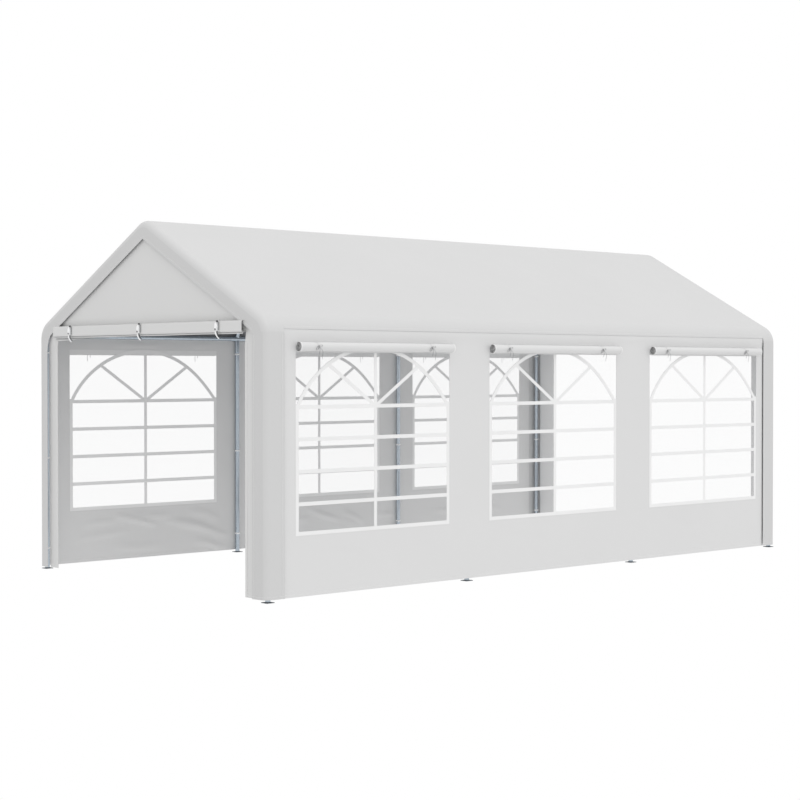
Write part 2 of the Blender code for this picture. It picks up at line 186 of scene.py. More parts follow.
# Rolled doors and their straps
DOOR_HALF = span("door_roll_front", 0)[1]
DOOR_Y, DOOR_HALF_DEEP = (abs(place) for place in span("door_roll_front", 1))
DOOR_Z, DOOR_HALF_HIGH = span("door_roll_front", 2)
DOOR_LOW_Z = DOOR_Z - DOOR_HALF_HIGH
DOOR_TOP_Z = DOOR_Z + DOOR_HALF_HIGH
DOOR_EDGE_R = 0.011
DOOR_PITCH = 0.0012
DOOR_TURNS = 9.3
DOOR_STEPS = 36
DOOR_FINE_END = 0.078
DOOR_TAIL_X = -0.47
DOOR_TAIL_START, DOOR_TAIL_RUN, DOOR_TAIL_DROP = -0.45, 0.81, 0.037
DOOR_STRAP_X = (-1.007, -0.021, 0.979)
STRAP_W = 0.025

# End panels
PANEL_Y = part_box("end_panel_back")[1][1]
PANEL_OUT = {-1: 1.378, 1: 1.45}
PANEL_JAMB_IN = 1.26
PANEL_INSET = 0.018
PANEL_HEAD = 1.957
PANEL_RISES = 22
JAMB_BULGE = 0.009
PLACKET_W = 0.026

# Sewing
HEM_W = 0.024
HEM_T = 0.0006
HEM_ROW = 0.28
OVER_HEM = 0.0003
STITCH_PITCH = 0.009
STITCH_SIZE = (0.0055, 0.0014, 0.0005)
TAPE_T = 0.0016
SHARP_ANGLE = math.radians(40)
CLOTH_THREADS, TAPE_THREADS = 620, 900

# Spacing of the points on the cloth: roof, walls, film, corner covers, panels, and hems on walls
ROOF_STEP = 0.07
WALL_STEP_Y, WALL_STEP_Z = 0.024, 0.022
FILM_STEP = 0.06
COVER_STEP_Z = 0.035
PANEL_STEP_X, PANEL_STEP_Z = 0.035, 0.04
LINE_STEP = 0.05

# Camera of the photograph: where it stands, lens and sensor in millimetres, and how it is turned
CAMERA_PLACE = (11.2804, -10.6112, 1.6388)
CAMERA_LENS, CAMERA_SENSOR = 79.24, 36.0
CAMERA_TURN = (math.radians(90 - 0.9514), 0, math.radians(47.683))

# Light of the white room, of its floor, and of the key with the place it comes from
ROOM_LIGHT = 0.88
FLOOR_LIGHT = 0.80
FLOOR_HALF = 60.0
KEY_LIGHT = 0.73
KEY_SPREAD = math.radians(50)
KEY_FROM = (0.391, 0.0, 0.92)


def smooth(low, high, value):
    """0 below low, 1 above high, and a smooth step between them."""
    share = min(1.0, max(0.0, (value - low) / (high - low)))
    return share * share * (3 - 2 * share)


def ticks(stops, step):
    """Positions through all the stops, about a step apart."""
    places = [stops[0]]
    for start, end in zip(stops, stops[1:]):
        count = max(1, round(abs(end - start) / step))
        places += [start + (end - start) * (i + 1) / count for i in range(count)]
    return places


def arc(start, end, steps):
    """Evenly spaced angles, both ends included."""
    return [start + (end - start) * i / steps for i in range(steps + 1)]


def on_arc(x, z, radius, angle):
    """The point of a circle at an angle."""
    return x + radius * math.cos(angle), z + radius * math.sin(angle)


def soft_noise(x, y, z):
    """A gentle wave between about -1 and 1."""
    return noise.noise(Vector((x, y, z)))


def heading(points, i):
    """Which way a line of points runs at one of them."""
    return (points[min(i + 1, len(points) - 1)] - points[max(i - 1, 0)]).normalized()


# Materials


class Nodes:
    """A short way to add shader nodes to a material."""

    def __init__(self, name):
        self.material = bpy.data.materials.new(name)
        self.material.use_nodes = True
        self.tree = self.material.node_tree
        self.shader = self.tree.nodes["Principled BSDF"]
        self.place = self.add("ShaderNodeTexCoord").outputs["Object"]

    def feed(self, node, inputs):
        """Give a node's inputs numbers or the outputs of other nodes."""
        for key, value in inputs.items():
            if isinstance(value, bpy.types.NodeSocket):
                self.tree.links.new(value, node.inputs[key])
            else:
                node.inputs[key].default_value = value

    def add(self, kind, inputs=None, **settings):
        """A node with its inputs and settings."""
        node = self.tree.nodes.new(kind)
        for key, value in settings.items():
            setattr(node, key, value)
        self.feed(node, inputs or {})
        return node

    def noise(self, scale, detail=2.0, stretch=(1, 1, 1)):
        """A noise value between 0 and 1, with its own stretch along each axis."""
        place = self.add("ShaderNodeMapping", {"Scale": stretch, "Vector": self.place}).outputs["Vector"]
        inputs = {"Scale": scale, "Detail": detail, "Vector": place}
        return self.add("ShaderNodeTexNoise", inputs).outputs["Fac"]

    def weave(self, threads, axes):
        """Fine ribs, so many threads to the metre, across one or two axes."""
        inputs = {"Scale": threads / 20, "Distortion": 0.4, "Detail": 1.0, "Vector": self.place}
        ribs = []
        for axis in axes:
            made = self.add("ShaderNodeTexWave", inputs, wave_type="BANDS", bands_direction=axis)
            ribs.append(made.outputs["Fac"])
        if len(ribs) == 1:
            return ribs[0]
        return self.add("ShaderNodeMath", {0: ribs[0], 1: ribs[1]}, operation="ADD").outputs["Value"]

    def colour(self, value, dark, light, low=0.3, high=0.7):
        """A base colour that runs from dark to light with a value."""
        made = self.add("ShaderNodeValToRGB", {"Fac": value})
        first, last = made.color_ramp.elements
        first.position, last.position = low, high
        first.color, last.color = (*dark, 1), (*light, 1)
        self.feed(self.shader, {"Base Color": made.outputs["Color"]})

    def roughness(self, value, low, high):
        """A roughness that follows a value from low to high."""
        made = self.add("ShaderNodeMapRange", {"To Min": low, "To Max": high, "Value": value})
        self.feed(self.shader, {"Roughness": made.outputs["Result"]})

    def bump(self, value, strength, distance):
        """A relief that follows a value."""
        made = self.add("ShaderNodeBump", {"Strength": strength, "Distance": distance, "Height": value})
        self.feed(self.shader, {"Normal": made.outputs["Normal"]})

    def set(self, **values):
        """Plain values for the shader's inputs, with an underscore for each space."""
        self.feed(self.shader, {key.replace("_", " "): value for key, value in values.items()})


def fabric_material(name, tint, axes):
    """Coated white cloth with a fine weave along two axes and faint clouds of tone."""
    made = Nodes(name)
    made.colour(made.noise(1.3, 3.0), [c * 0.985 for c in tint], tint)
    made.roughness(made.noise(9.0), 0.42, 0.52)
    made.bump(made.weave(CLOTH_THREADS, axes), 0.25, 0.0002)
    made.set(Specular_IOR_Level=0.35)
    return made.material


def mottled_material(name, grain, dark, light, rough, bump=None, **values):
    """Two tones in a fine grain.

    `rough` is (grain, low, high) and `bump` (grain, strength, distance), with the axes of a weave
    in place of a grain on tapes.
    """
    made = Nodes(name)
    made.colour(made.noise(*grain), dark, light)
    made.roughness(made.noise(rough[0]), *rough[1:])
    if bump:
        woven = isinstance(bump[0], str)
        made.bump(made.weave(TAPE_THREADS, bump[0]) if woven else made.noise(bump[0]), *bump[1:])
    made.set(**values)
    return made.material


def film_material():
    """Clear flexible film with faint ripples."""
    made = Nodes("clear_film")
    made.colour(made.noise(2.0), (0.60, 0.61, 0.62), (0.64, 0.65, 0.66))
    made.bump(made.noise(5.0, 2.0, (1, 1, 2.5)), 0.25, 0.004)
    made.roughness(made.noise(8.0), 0.06, 0.12)
    made.set(Alpha=0.038, Specular_IOR_Level=0.3, IOR=1.45)
    return made.material


def steel_material():
    """Galvanised tube, with a faint spangle and a soft shine."""
    made = Nodes("galvanised_steel")
    cells = made.add("ShaderNodeTexVoronoi", {"Scale": 90.0, "Vector": made.place})
    made.colour(cells.outputs["Color"], (0.46, 0.52, 0.58), (0.52, 0.58, 0.64), 0.0, 1.0)
    made.roughness(made.noise(60.0, 3.0, (1, 1, 0.2)), 0.10, 0.20)
    made.bump(made.noise(300.0), 0.08, 0.0003)
    made.set(Metallic=0.93)
    return made.material


# Cloth of the roof, the covers, the walls and the gables, outside and inside, with darker and lighter copies
# painted as shade and light
ROOF_FABRIC = fabric_material("roof_fabric", (0.648,) * 3, "YX")
# A dark copy of the roof cloth for its inner face, painted as the shade under the roof
ROOF_INSIDE_SHADE = fabric_material("roof_inside_painted_shade", (0.29, 0.295, 0.305), "YX")
CORNER_FABRIC = fabric_material("corner_fabric", (0.636,) * 3, "YZ")
# A darker copy of the roof cloth, painted as shade on the faces that look along the tent
GABLE_FACE_SHADE_FABRIC = fabric_material("gable_facing_painted_shade", (0.613,) * 3, "XZ")
WALL_FABRIC = fabric_material("wall_fabric", (0.722,) * 3, "YZ")
WALL_INSIDE = fabric_material("wall_inside", (0.735,) * 3, "YZ")
BAND_FABRIC = fabric_material("band_fabric", (0.83,) * 3, "YZ")
GABLE_FABRIC = fabric_material("gable_fabric", (0.695, 0.695, 0.692), "XZ")
# A lighter copy of the gable cloth for its inner face, painted as light on it
GABLE_INSIDE_LIT = fabric_material("gable_inside_painted_light", (0.88,) * 3, "XZ")
JAMB_FABRIC = fabric_material("placket_fabric", (0.70, 0.70, 0.695), "XZ")
# Near-black copy of the cloth for the inner layers of a rolled flap, painted as the shade between them
ROLL_SHADE = fabric_material("roll_painted_shade", (0.20, 0.205, 0.21), "YX")

# White webbing of the door's straps, grey tape of the flap ties, also used as painted shadow lines under the
# door's lips and beside each buckle, and sewing thread
WEBBING = mottled_material(
    "white_webbing", (260.0,), (0.66, 0.67, 0.68), (0.76, 0.76, 0.76), (40.0, 0.6, 0.75), ("XZ", 0.5, 0.0004)
)
TIE_TAPE_AND_SHADE = mottled_material(
    "tie_tape_and_painted_shade", (260.0,), (0.30, 0.305, 0.31), (0.38, 0.385, 0.39), (40.0, 0.6, 0.75), ("Z", 0.4, 0.0003)
)
THREAD = mottled_material("sewing_thread", (900.0,), (0.80,) * 3, (0.90,) * 3, (500.0, 0.5, 0.7))

# Bright strips welded on to the window film, also painted as a highlight rim at each end of a rolled flap,
# and the film itself
STRIP_AND_RIM_HIGHLIGHT = mottled_material(
    "window_strip_and_rim_highlight", (3.0,), (0.84,) * 3, (0.87,) * 3, (30.0, 0.35, 0.45), (400.0, 0.15, 0.0002)
)
FILM = film_material()

# Galvanised tubes, foot plates and welds in a dark metal painted as contact shade, and zinc plated bolts
STEEL = steel_material()
PLATE = mottled_material(
    "foot_plate_painted_shade",
    (70.0, 4.0),
    (0.10, 0.115, 0.13),
    (0.20, 0.22, 0.24),
    (120.0, 0.45, 0.65),
    (350.0, 0.15, 0.0003),
    Metallic=0.7,
)
BOLT = mottled_material(
    "zinc_bolts", (500.0,), (0.40, 0.41, 0.42), (0.55, 0.56, 0.57), (200.0, 0.25, 0.4), Metallic=0.95
)

# White plastic of buckles and loops, and near-black painted shade in a buckle's slot, at the strap's knot
# and beside its tail
PLASTIC = mottled_material(
    "white_plastic",
    (60.0,),
    (0.93, 0.935, 0.94),
    (0.96, 0.96, 0.965),
    (120.0, 0.28, 0.38),
    (900.0, 0.1, 0.0002),
)
SHADE_BLACK = mottled_material("painted_shade_black", (50.0,), (0.05, 0.05, 0.055), (0.08, 0.08, 0.085), (50.0, 0.8, 0.9))


# Building blocks


def open_cells(rows, is_open):
    """The cells of a grid, as (row, column), whose middle passes a test."""
    cells = set()
    for r, (low, high) in enumerate(zip(rows, rows[1:])):
        cells |= {(r, c) for c in range(len(low) - 1) if is_open((low[c] + high[c + 1]) / 2)}
    return cells


def add_sheet(bm, rows, thickness, mirrored=False, skip=frozenset(), inner_slot=0, inner_from=0):
    """A closed sheet from rows of points, thickened away from its outer face.

    Seen from outside, points run to the right along a row, or to the left on a mirrored sheet,
    and rows run upwards. `skip` holds the cells, as (row, column), that stay open. The inner face
    may have its own slot, from a row on.
    """
    outer = np.array(rows, dtype=float)
    row_count, column_count = outer.shape[0] - 1, outer.shape[1] - 1
    if mirrored:
        outer = outer[:, ::-1]
        skip = {(r, column_count - 1 - c) for r, c in skip}
    normal = np.cross(np.gradient(outer, axis=1), np.gradient(outer, axis=0))
    normal /= np.maximum(np.linalg.norm(normal, axis=2, keepdims=True), 1e-12)
    layers = (outer, outer - normal * thickness)
    made = {}

    def vert(layer, r, c):
        key = (layer, r, c)
        if key not in made:
            made[key] = bm.verts.new(layers[layer][r, c])
        return made[key]

    def present(r, c):
        return 0 <= r < row_count and 0 <= c < column_count and (r, c) not in skip

    def face(verts, slot=0):
        fresh = bm.faces.new(verts)
        fresh.smooth = True
        fresh.material_index = slot

    for r in range(row_count):
        for c in range(column_count):
            if not present(r, c):
                continue
            ring = ((r, c), (r, c + 1), (r + 1, c + 1), (r + 1, c))
            face([vert(0, *p) for p in ring])
            face([vert(1, *p) for p in reversed(ring)], inner_slot if r >= inner_from else 0)
            beside = ((r - 1, c), (r, c + 1), (r + 1, c), (r, c - 1))
            for i, cell in enumerate(beside):
                if not present(*cell):
                    a, b = ring[i], ring[(i + 1) % 4]
                    face((vert(0, *b), vert(0, *a), vert(1, *a), vert(1, *b)))


def add_loft(bm, rings, slot=0):
    """A skin through rings of points, capped at both ends."""
    made = [[bm.verts.new(p) for p in ring] for ring in rings]
    count = len(made[0])
    faces = [bm.faces.new(made[0][::-1]), bm.faces.new(made[-1])]
    for low, high in zip(made, made[1:]):
        for k in range(count):
            nxt = (k + 1) % count
            faces.append(bm.faces.new((low[k], low[nxt], high[nxt], high[k])))
    for face in faces:
        face.material_index = slot
        face.smooth = True


def add_tube(bm, points, radii, sides=32, slot=0):
    """A round bar along points with a radius for each, its section turned as little as possible."""
    side = None
    rings = []
    for i, (point, radius) in enumerate(zip(points, radii)):
        ahead = heading(points, i)
        if side is None:
            side = ahead.cross(UP if abs(ahead.z) < 0.9 else ACROSS)
        side = (side - ahead * side.dot(ahead)).normalized()
        up = ahead.cross(side)
        angles = (2 * math.pi * k / sides for k in range(sides))
        rings.append([point + (side * math.cos(a) + up * math.sin(a)) * radius for a in angles])
    add_loft(bm, rings, slot)


def add_turned(bm, centre, axis, profile, sides=32, slot=0):
    """A turned solid: `profile` holds (distance along the axis, radius)."""
    points = [Vector(centre) + axis * distance for distance, _ in profile]
    add_tube(bm, points, [radius for _, radius in profile], sides, slot)


def add_block(bm, centre, size, axes=(ACROSS, ALONG, UP), bevel=0.0, slot=0):
    """A block, with chamfered edges round its two broad faces if it has a bevel."""
    right, ahead, up = axes
    a, b, top = (s / 2 for s in size)
    levels = [(-top, 0.0), (top, 0.0)]
    if bevel > 0:
        levels = [(-top, bevel), (-top + bevel, 0.0), (top - bevel, 0.0), (top, bevel)]
    rings = []
    for z, inset in levels:
        x, y = a - inset, b - inset
        corners = ((-x, -y), (x, -y), (x, y), (-x, y))
        rings.append([centre + right * u + ahead * v + up * z for u, v in corners])
    add_loft(bm, rings, slot)


def add_ribbon(bm, line, width, low, high, slot=0):
    """A flat strip along a line of (point, direction across, normal), between two heights."""
    edge = (high - low) * 0.3
    shape = ((-0.5, low, 0), (-0.5, high - edge, 0), (-0.5, high, edge))
    rings = []
    for point, across, normal in line:
        ring = [point + across * (s * width + t) + normal * h for s, h, t in shape]
        ring += [point + across * (-s * width - t) + normal * h for s, h, t in reversed(shape)]
        rings.append(ring)
    add_loft(bm, rings, slot)


def add_stitches(bm, line, shift, lift):
    """A row of stitches along a line, moved across it by `shift`."""
    spare = STITCH_PITCH / 2
    for (p, a, n), (q, b, m) in zip(line, line[1:]):
        length = (q - p).length
        ahead = (q - p).normalized()
        while spare < length:
            share = spare / length
            normal = n.lerp(m, share)
            centre = p.lerp(q, share) + a.lerp(b, share) * shift + normal * (lift + STITCH_SIZE[2] / 2)
            add_block(bm, centre, STITCH_SIZE, (ahead, normal.cross(ahead).normalized(), normal), slot=1)
            spare += STITCH_PITCH
        spare -= length


def add_hem(bm, line, width=HEM_W, slot=0, rows=(HEM_ROW,), lift=0.0):
    """A turned edge: a slightly raised strip with rows of stitches."""
    add_ribbon(bm, line, width, lift - SKIN_T / 2, lift + HEM_T, slot)
    for share in rows:
        add_stitches(bm, line, width * share, lift + HEM_T)


def finish_piece(name, bm, materials, stands_for=None):
    """Make a piece of a bmesh, riding on the tent, with sharp edges past an angle."""
    mesh = bpy.data.meshes.new(name)
    bmesh.ops.recalc_face_normals(bm, faces=bm.faces)
    bm.to_mesh(mesh)
    bm.free()
    for finish in materials:
        mesh.materials.append(finish)
    mesh.set_sharp_from_angle(angle=SHARP_ANGLE)
    piece = bpy.data.objects.new(name, mesh)
    bpy.context.scene.collection.objects.link(piece)
    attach(piece, "root")
    if stands_for:
        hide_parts(stands_for)
    return piece


# Camera, light and floor


def make_camera():
    """The view of the photograph."""
    data = bpy.data.cameras.new("camera")
    data.lens = CAMERA_LENS
    data.sensor_width = CAMERA_SENSOR
    camera = bpy.data.objects.new("camera", data)
    camera.location = CAMERA_PLACE
    camera.rotation_euler = CAMERA_TURN
    bpy.context.scene.collection.objects.link(camera)
    bpy.context.scene.camera = camera


def make_light():
    """A white room: even light all round and a weak, very soft key from above and the right."""
    scene = bpy.context.scene
    scene.view_settings.view_transform = "Standard"
    world = bpy.data.worlds.new("studio")
    world.use_nodes = True
    scene.world = world
    tree = world.node_tree
    background = tree.nodes["Background"]
    background.inputs["Color"].default_value = (1, 1, 1, 1)
    rays = tree.nodes.new("ShaderNodeLightPath")
    strength = tree.nodes.new("ShaderNodeMath")
    strength.operation = "MULTIPLY_ADD"
    strength.inputs[1].default_value = 1.0 - ROOM_LIGHT
    strength.inputs[2].default_value = ROOM_LIGHT
    tree.links.new(rays.outputs["Is Camera Ray"], strength.inputs[0])
    tree.links.new(strength.outputs["Value"], background.inputs["Strength"])
    key = bpy.data.lights.new("key", "SUN")
    key.energy = KEY_LIGHT
    key.angle = KEY_SPREAD
    lamp = bpy.data.objects.new("key", key)
    lamp.rotation_euler = Vector(KEY_FROM).to_track_quat("Z", "Y").to_euler()
    scene.collection.objects.link(lamp)


def make_floor():
    """A wide pale floor that the camera sees as plain white."""
    corners = [(x * FLOOR_HALF, y * FLOOR_HALF, 0) for x, y in ((-1, -1), (1, -1), (1, 1), (-1, 1))]
    mesh = bpy.data.meshes.new("floor")
    mesh.from_pydata(corners, [], [(0, 1, 2, 3)])
    made = Nodes("pale_floor")
    made.set(Base_Color=(0.10, 0.10, 0.10, 1), Roughness=0.9, Emission_Color=(1, 1, 1, 1))
    made.set(Emission_Strength=FLOOR_LIGHT, Specular_IOR_Level=0.0)
    plain = made.add("ShaderNodeEmission").outputs["Emission"]
    rays = made.add("ShaderNodeLightPath").outputs["Is Camera Ray"]
    mix = made.add("ShaderNodeMixShader", {"Fac": rays, 1: made.shader.outputs["BSDF"], 2: plain})
    made.feed(made.tree.nodes["Material Output"], {"Surface": mix.outputs["Shader"]})
    mesh.materials.append(made.material)
    floor = bpy.data.objects.new("floor", mesh)
    bpy.context.scene.collection.objects.link(floor)


# Roof cover


def roof_half():
    """Right half of the roof's outline, as (x, z, angle of the normal, share of the slope)."""
    points = []
    for angle in arc(HEM_ANGLE, NORMAL_ANGLE, EAVE_STEPS):
        points.append((*on_arc(EAVE_ARC_X, EAVE_TANGENT_Z, EAVE_R, angle), angle, 0.0))
    ridge = []
    for angle in arc(NORMAL_ANGLE, math.pi / 2, RIDGE_STEPS):
        ridge.append((*on_arc(0.0, RIDGE_ARC_Z, RIDGE_R, angle), angle, 0.0))
    foot, head = points[-1], ridge[0]
    for i in range(1, SLOPE_STEPS):
        share = i / SLOPE_STEPS
        x, z = (foot[k] + (head[k] - foot[k]) * share for k in (0, 1))
        points.append((x, z, NORMAL_ANGLE, share))
    return points + ridge


def seam_rows():
    """The strip of the roof's outline between the hem and the seam with a corner cover."""
    rows = []
    for z in (SEAM_Z, (SEAM_Z + HEM_Z) / 2):
        angle = math.asin((z - EAVE_TANGENT_Z) / EAVE_R)
        blend = math.sin((z - SEAM_Z) / (HEM_Z - SEAM_Z) * math.pi / 2)
        rows.append((EAVE_ARC_X + EAVE_R * math.cos(angle), z, HEM_ANGLE * blend, 0.0))
    return rows


def sag(share, y):
    """How far the cover hangs in between two roof frames."""
    if abs(y) > FRAME_Y[3]:
        return 0.0
    depth = ROOF_SAG + ROOF_WAVE * soft_noise(share * 3.0, y * 1.7, 4.0)
    return depth * math.sin(math.pi * (y - FRAME_Y[0]) / BAY) ** 2 * math.sin(math.pi * share)


def border_low_z(x):
    """Height of the lower edge of a gable's border, on its slopes."""
    return SLOPE_PEAK_Z - BORDER_W / math.cos(SLOPE) - abs(x) * RISE


def border_edge():
    """The border's inner edge, one point for each point of the outline."""
    centre = (BORDER_LEG_X - BORDER_EDGE_R, BORDER_EDGE_Z, BORDER_EDGE_R)
    start = math.asin((SEAM_Z - BORDER_EDGE_Z) / BORDER_EDGE_R)
    edge = [on_arc(*centre, a) for a in arc(start, NORMAL_ANGLE, len(seam_rows()) + EAVE_STEPS)]
    xs = arc(edge[-1][0], BORDER_PEAK_X, SLOPE_STEPS)[1:] + arc(BORDER_PEAK_X, 0.0, RIDGE_STEPS)[1:]
    return both_halves(edge + [(x, border_low_z(x)) for x in xs])


def both_halves(half):
    """A half outline with its mirror image, left to right, without a double middle."""
    return [(-p[0],) + tuple(p[1:]) for p in half[:-1]] + half[::-1]


def roof_point(x, z, angle, y, sink):
    """A point of the roof at a place of its outline, sunk along its normal."""
    out = math.cos(angle) if x > 0 else -math.cos(angle)
    return Vector((x - out * sink, y, z - math.sin(angle) * sink))


def below_hem(point):
    """Whether a place lies below the roof's hem, between the corner covers."""
    return point.z < HEM_Z and COVER_SIDE[-1] - SKIN_Y < point.y < SKIN_Y - COVER_SIDE[1]


def make_roof_cover():
    """Both slopes in one sheet, with its border over each gable, hems and seams."""
    stops = [-SKIN_Y + EDGE_R, -SKIN_Y + COVER_SIDE[-1], FRAME_Y[1], FRAME_Y[2]]
    stops += [SKIN_Y - COVER_SIDE[1], SKIN_Y - EDGE_R]
    places = ticks(stops, ROOF_STEP)[1:-1]
    rows = []
    for (x, z, angle, share), edge in zip(both_halves(seam_rows() + roof_half()), border_edge()):
        ends = []
        for side in (-1, 1):
            turned = []
            for turn in arc(math.pi / 2, 0.0, EDGE_STEPS):
                y = side * (SKIN_Y - EDGE_R + EDGE_R * math.sin(turn))
                turned.append(roof_point(x, z, angle, y, EDGE_R * (1 - math.cos(turn))))
            start = Vector((edge[0], side * SKIN_Y, edge[1]))
            face = [start.lerp(turned[0], i / BORDER_STEPS) for i in range(BORDER_STEPS)]
            ends.append(face + turned)
        middle = [roof_point(x, z, angle, y, sag(share, y)) for y in places]
        rows.append(ends[0] + middle + ends[1][::-1])
    bm = bmesh.new()
    # The inner face takes the dark copy painted as the shade under the roof
    add_sheet(bm, rows, SKIN_T, mirrored=True, skip=open_cells(rows, below_hem), inner_slot=2)
    for side in (-1, 1):
        add_roof_hem(bm, side)
    for side in (-1, 1):
        add_hem(bm, border_line(side))
    # Faces that look along the tent take the darker copy painted as shade
    set_gable_shade_slot(bm, 3, least=0.999)
    materials = [ROOF_FABRIC, THREAD, ROOF_INSIDE_SHADE, GABLE_FACE_SHADE_FABRIC]
    piece = finish_piece("roof_cover_sheet", bm, materials, stands_for="roof_cover")


def set_gable_shade_slot(bm, slot, least):
    """Give the outer faces that look along the tent a slot of their own, for a darker copy of the cloth
    painted as their shade.
    """
    bm.normal_update()
    for face in bm.faces:
        if face.material_index == 0 and abs(face.normal.y) > least:
            face.material_index = slot


def add_roof_hem(bm, side):
    """The turned lower edge of the roof cover along one wall."""
    angle = HEM_ANGLE + HEM_W / 2 / EAVE_R
    out = Vector((side * math.cos(angle), 0, math.sin(angle)))
    up = Vector((-side * math.sin(angle), 0, math.cos(angle)))
    line = []
    for y in ticks((-SKIN_Y + COVER_SIDE[-1], SKIN_Y - COVER_SIDE[1]), ROOF_STEP):
        line.append((Vector((side * EAVE_ARC_X, y, EAVE_TANGENT_Z)) + out * EAVE_R, up, out))
    add_hem(bm, line, rows=(0.3,))


def border_line(side):
    """The middle of the hem along a gable border's inner edge, one leg to the other."""
    points = [Vector((x, side * SKIN_Y, z)) for x, z in border_edge()]
    line = []
    for i, point in enumerate(points):
        ahead = heading(points, i)
        across = Vector((-ahead.z, 0, ahead.x))
        line.append((point + across * HEM_W / 2, across, ALONG * side))
    return line


# Corner covers


def border_edge_x(z):
    """Where the border's inner edge stands at a height below the roof's seam."""
    rise = max(0.0, z - BORDER_EDGE_Z)
    return BORDER_LEG_X - BORDER_EDGE_R + math.sqrt(BORDER_EDGE_R ** 2 - rise ** 2)


def cover_section(z, side_x, side_y):
    """Level line of a corner cover's outside at a height, from the gable to the wall."""
    rise = max(0.0, z - EAVE_TANGENT_Z)
    out_x = SKIN_X - EAVE_R + math.sqrt(EAVE_R ** 2 - rise ** 2)
    fade = 1.0 - smooth(1.70, 1.88, z)
    start = border_edge_x(z)
    bow = JAMB_BULGE * (1.0 - smooth(1.78, 1.90, z))
    plan = []
    for i in range(COVER_STEPS):
        share = i / COVER_STEPS
        plan.append((start + (out_x - EDGE_R - start) * share, SKIN_Y + bow * (1 - share) ** 1.5))
    for angle in arc(math.pi / 2, 0.0, CORNER_STEPS):
        plan.append(on_arc(out_x - EDGE_R, SKIN_Y - EDGE_R, EDGE_R, angle))
    for i in range(1, COVER_STEPS + 1):
        share = i / COVER_STEPS
        wave = COVER_WAVE * fade * share * soft_noise(side_y * 7.0, z * 2.4, share * 1.5)
        plan.append((out_x - abs(wave), SKIN_Y - EDGE_R - (COVER_SIDE[side_y] - EDGE_R) * share))
    return [Vector((side_x * x, side_y * y, z)) for x, y in plan]


def make_corner_cover(name, side_x, side_y):
    """The cloth over one corner post, from the roof's seam to the ground."""
    heights = ticks((GROUND_CLEARANCE, BORDER_EDGE_Z, EAVE_TANGENT_Z, SEAM_Z - 0.00005), COVER_STEP_Z)
    rows = [cover_section(z, side_x, side_y) for z in heights]
    bm = bmesh.new()
    add_sheet(bm, rows, SKIN_T, mirrored=side_x == side_y)
    foot = cover_section(GROUND_CLEARANCE + HEM_W / 2, side_x, side_y)
    add_hem(bm, level_line(foot, side_x, side_y))
    out = ALONG * side_y
    gable, wall = [], []
    for z in ticks((GROUND_CLEARANCE + 0.001, BORDER_EDGE_Z, SEAM_Z - 0.02), LINE_STEP):
        plan = cover_section(z, side_x, side_y)
        across = (plan[1] - plan[0]).normalized()
        normal = out - across * across.y * side_y
        gable.append((plan[0] + across * HEM_W / 2, across, normal.normalized()))
        wall.append((plan[-1] + out * HEM_W / 2, out, ACROSS * side_x))
    add_hem(bm, gable, lift=OVER_HEM)
    add_hem(bm, wall, lift=OVER_HEM)
    # Faces that look along the tent take the darker copy painted as shade
    set_gable_shade_slot(bm, 2, least=0.9)
    piece = finish_piece(f"{name}_sheet", bm, [CORNER_FABRIC, THREAD, GABLE_FACE_SHADE_FABRIC], stands_for=name)


def level_line(points, side_x, side_y):
    """A level line round a corner, with up as the direction across."""
    line = []
    for i, point in enumerate(points):
        ahead = heading(points, i)
        normal = Vector((ahead.y, -ahead.x, 0)).normalized()
        if normal.dot(Vector((side_x, side_y, 0))) < 0:
            normal = -normal
        line.append((point, UP, normal))
    return line


# Side walls


def fold_lift(folds, y, z):
    """How far creases push a wall in at a place; each is a line of (y, z), a width and a depth."""
    lift = 0.0
    for line, width, depth in folds:
        nearest, share = 1e9, 0.0
        for i, ((y0, z0), (y1, z1)) in enumerate(zip(line, line[1:])):
            squared = (y1 - y0) ** 2 + (z1 - z0) ** 2
            t = min(1.0, max(0.0, ((y - y0) * (y1 - y0) + (z - z0) * (z1 - z0)) / squared))
            distance = math.hypot(y - y0 - (y1 - y0) * t, z - z0 - (z1 - z0) * t)
            if distance < nearest:
                nearest, share = distance, (i + t) / (len(line) - 1)
        if nearest < 3 * width:
            lift += depth * math.exp(-((nearest / width) ** 2)) * math.sin(math.pi * share) ** 0.6
    return lift


def wall_ripple(side, y, z):
    """Soft creases of a side wall, none at the windows, the posts, the ends and the top."""
    calm = 1.0 - smooth(1.84, 1.92, z)
    for centre in WINDOW_Y:
        beside = smooth(WINDOW_HALF + 0.01, WINDOW_HALF + 0.12, abs(y - centre))
        below = 1.0 - smooth(WINDOW_LOW - 0.10, WINDOW_LOW - 0.01, z)
        calm *= max(beside, below)
    calm *= smooth(0.02, 0.30, FRAME_Y[3] - abs(y))
    slant = soft_noise(y * 2.1 + z * 2.6, z * 1.3 - y * 0.5, 3.0 * side)
    crease = abs(soft_noise(y * 3.2 + z * 5.0, z * 1.0, 5.0 - side))
    ripple = calm * WALL_WAVE[side] * (0.9 * slant + 0.7 * (0.35 - crease) + 0.2)
    below = 1.0 - smooth(WINDOW_LOW - 0.05, WINDOW_LOW - 0.005, z)
    above = smooth(WINDOW_TOP + 0.04, WINDOW_TOP + 0.06, z)
    ripple -= max(below, above) * fold_lift(WALL_FOLDS[side], y, z)
    return ripple + WALL_LEAN * (smooth(1.85, 1.91, z) - 0.5 * smooth(1.936, 1.945, z))


def wall_point(side, y, z):
    """A point of the outer face of a side wall, which turns in behind the back corner cover."""
    turned = WALL_TURN_IN * smooth(WALL_TURN_Y[side], WALL_TURN_Y[side] + WALL_TURN_RUN, y)
    return Vector((side * (WALL_X + wall_ripple(side, y, z) - turned), y, z))


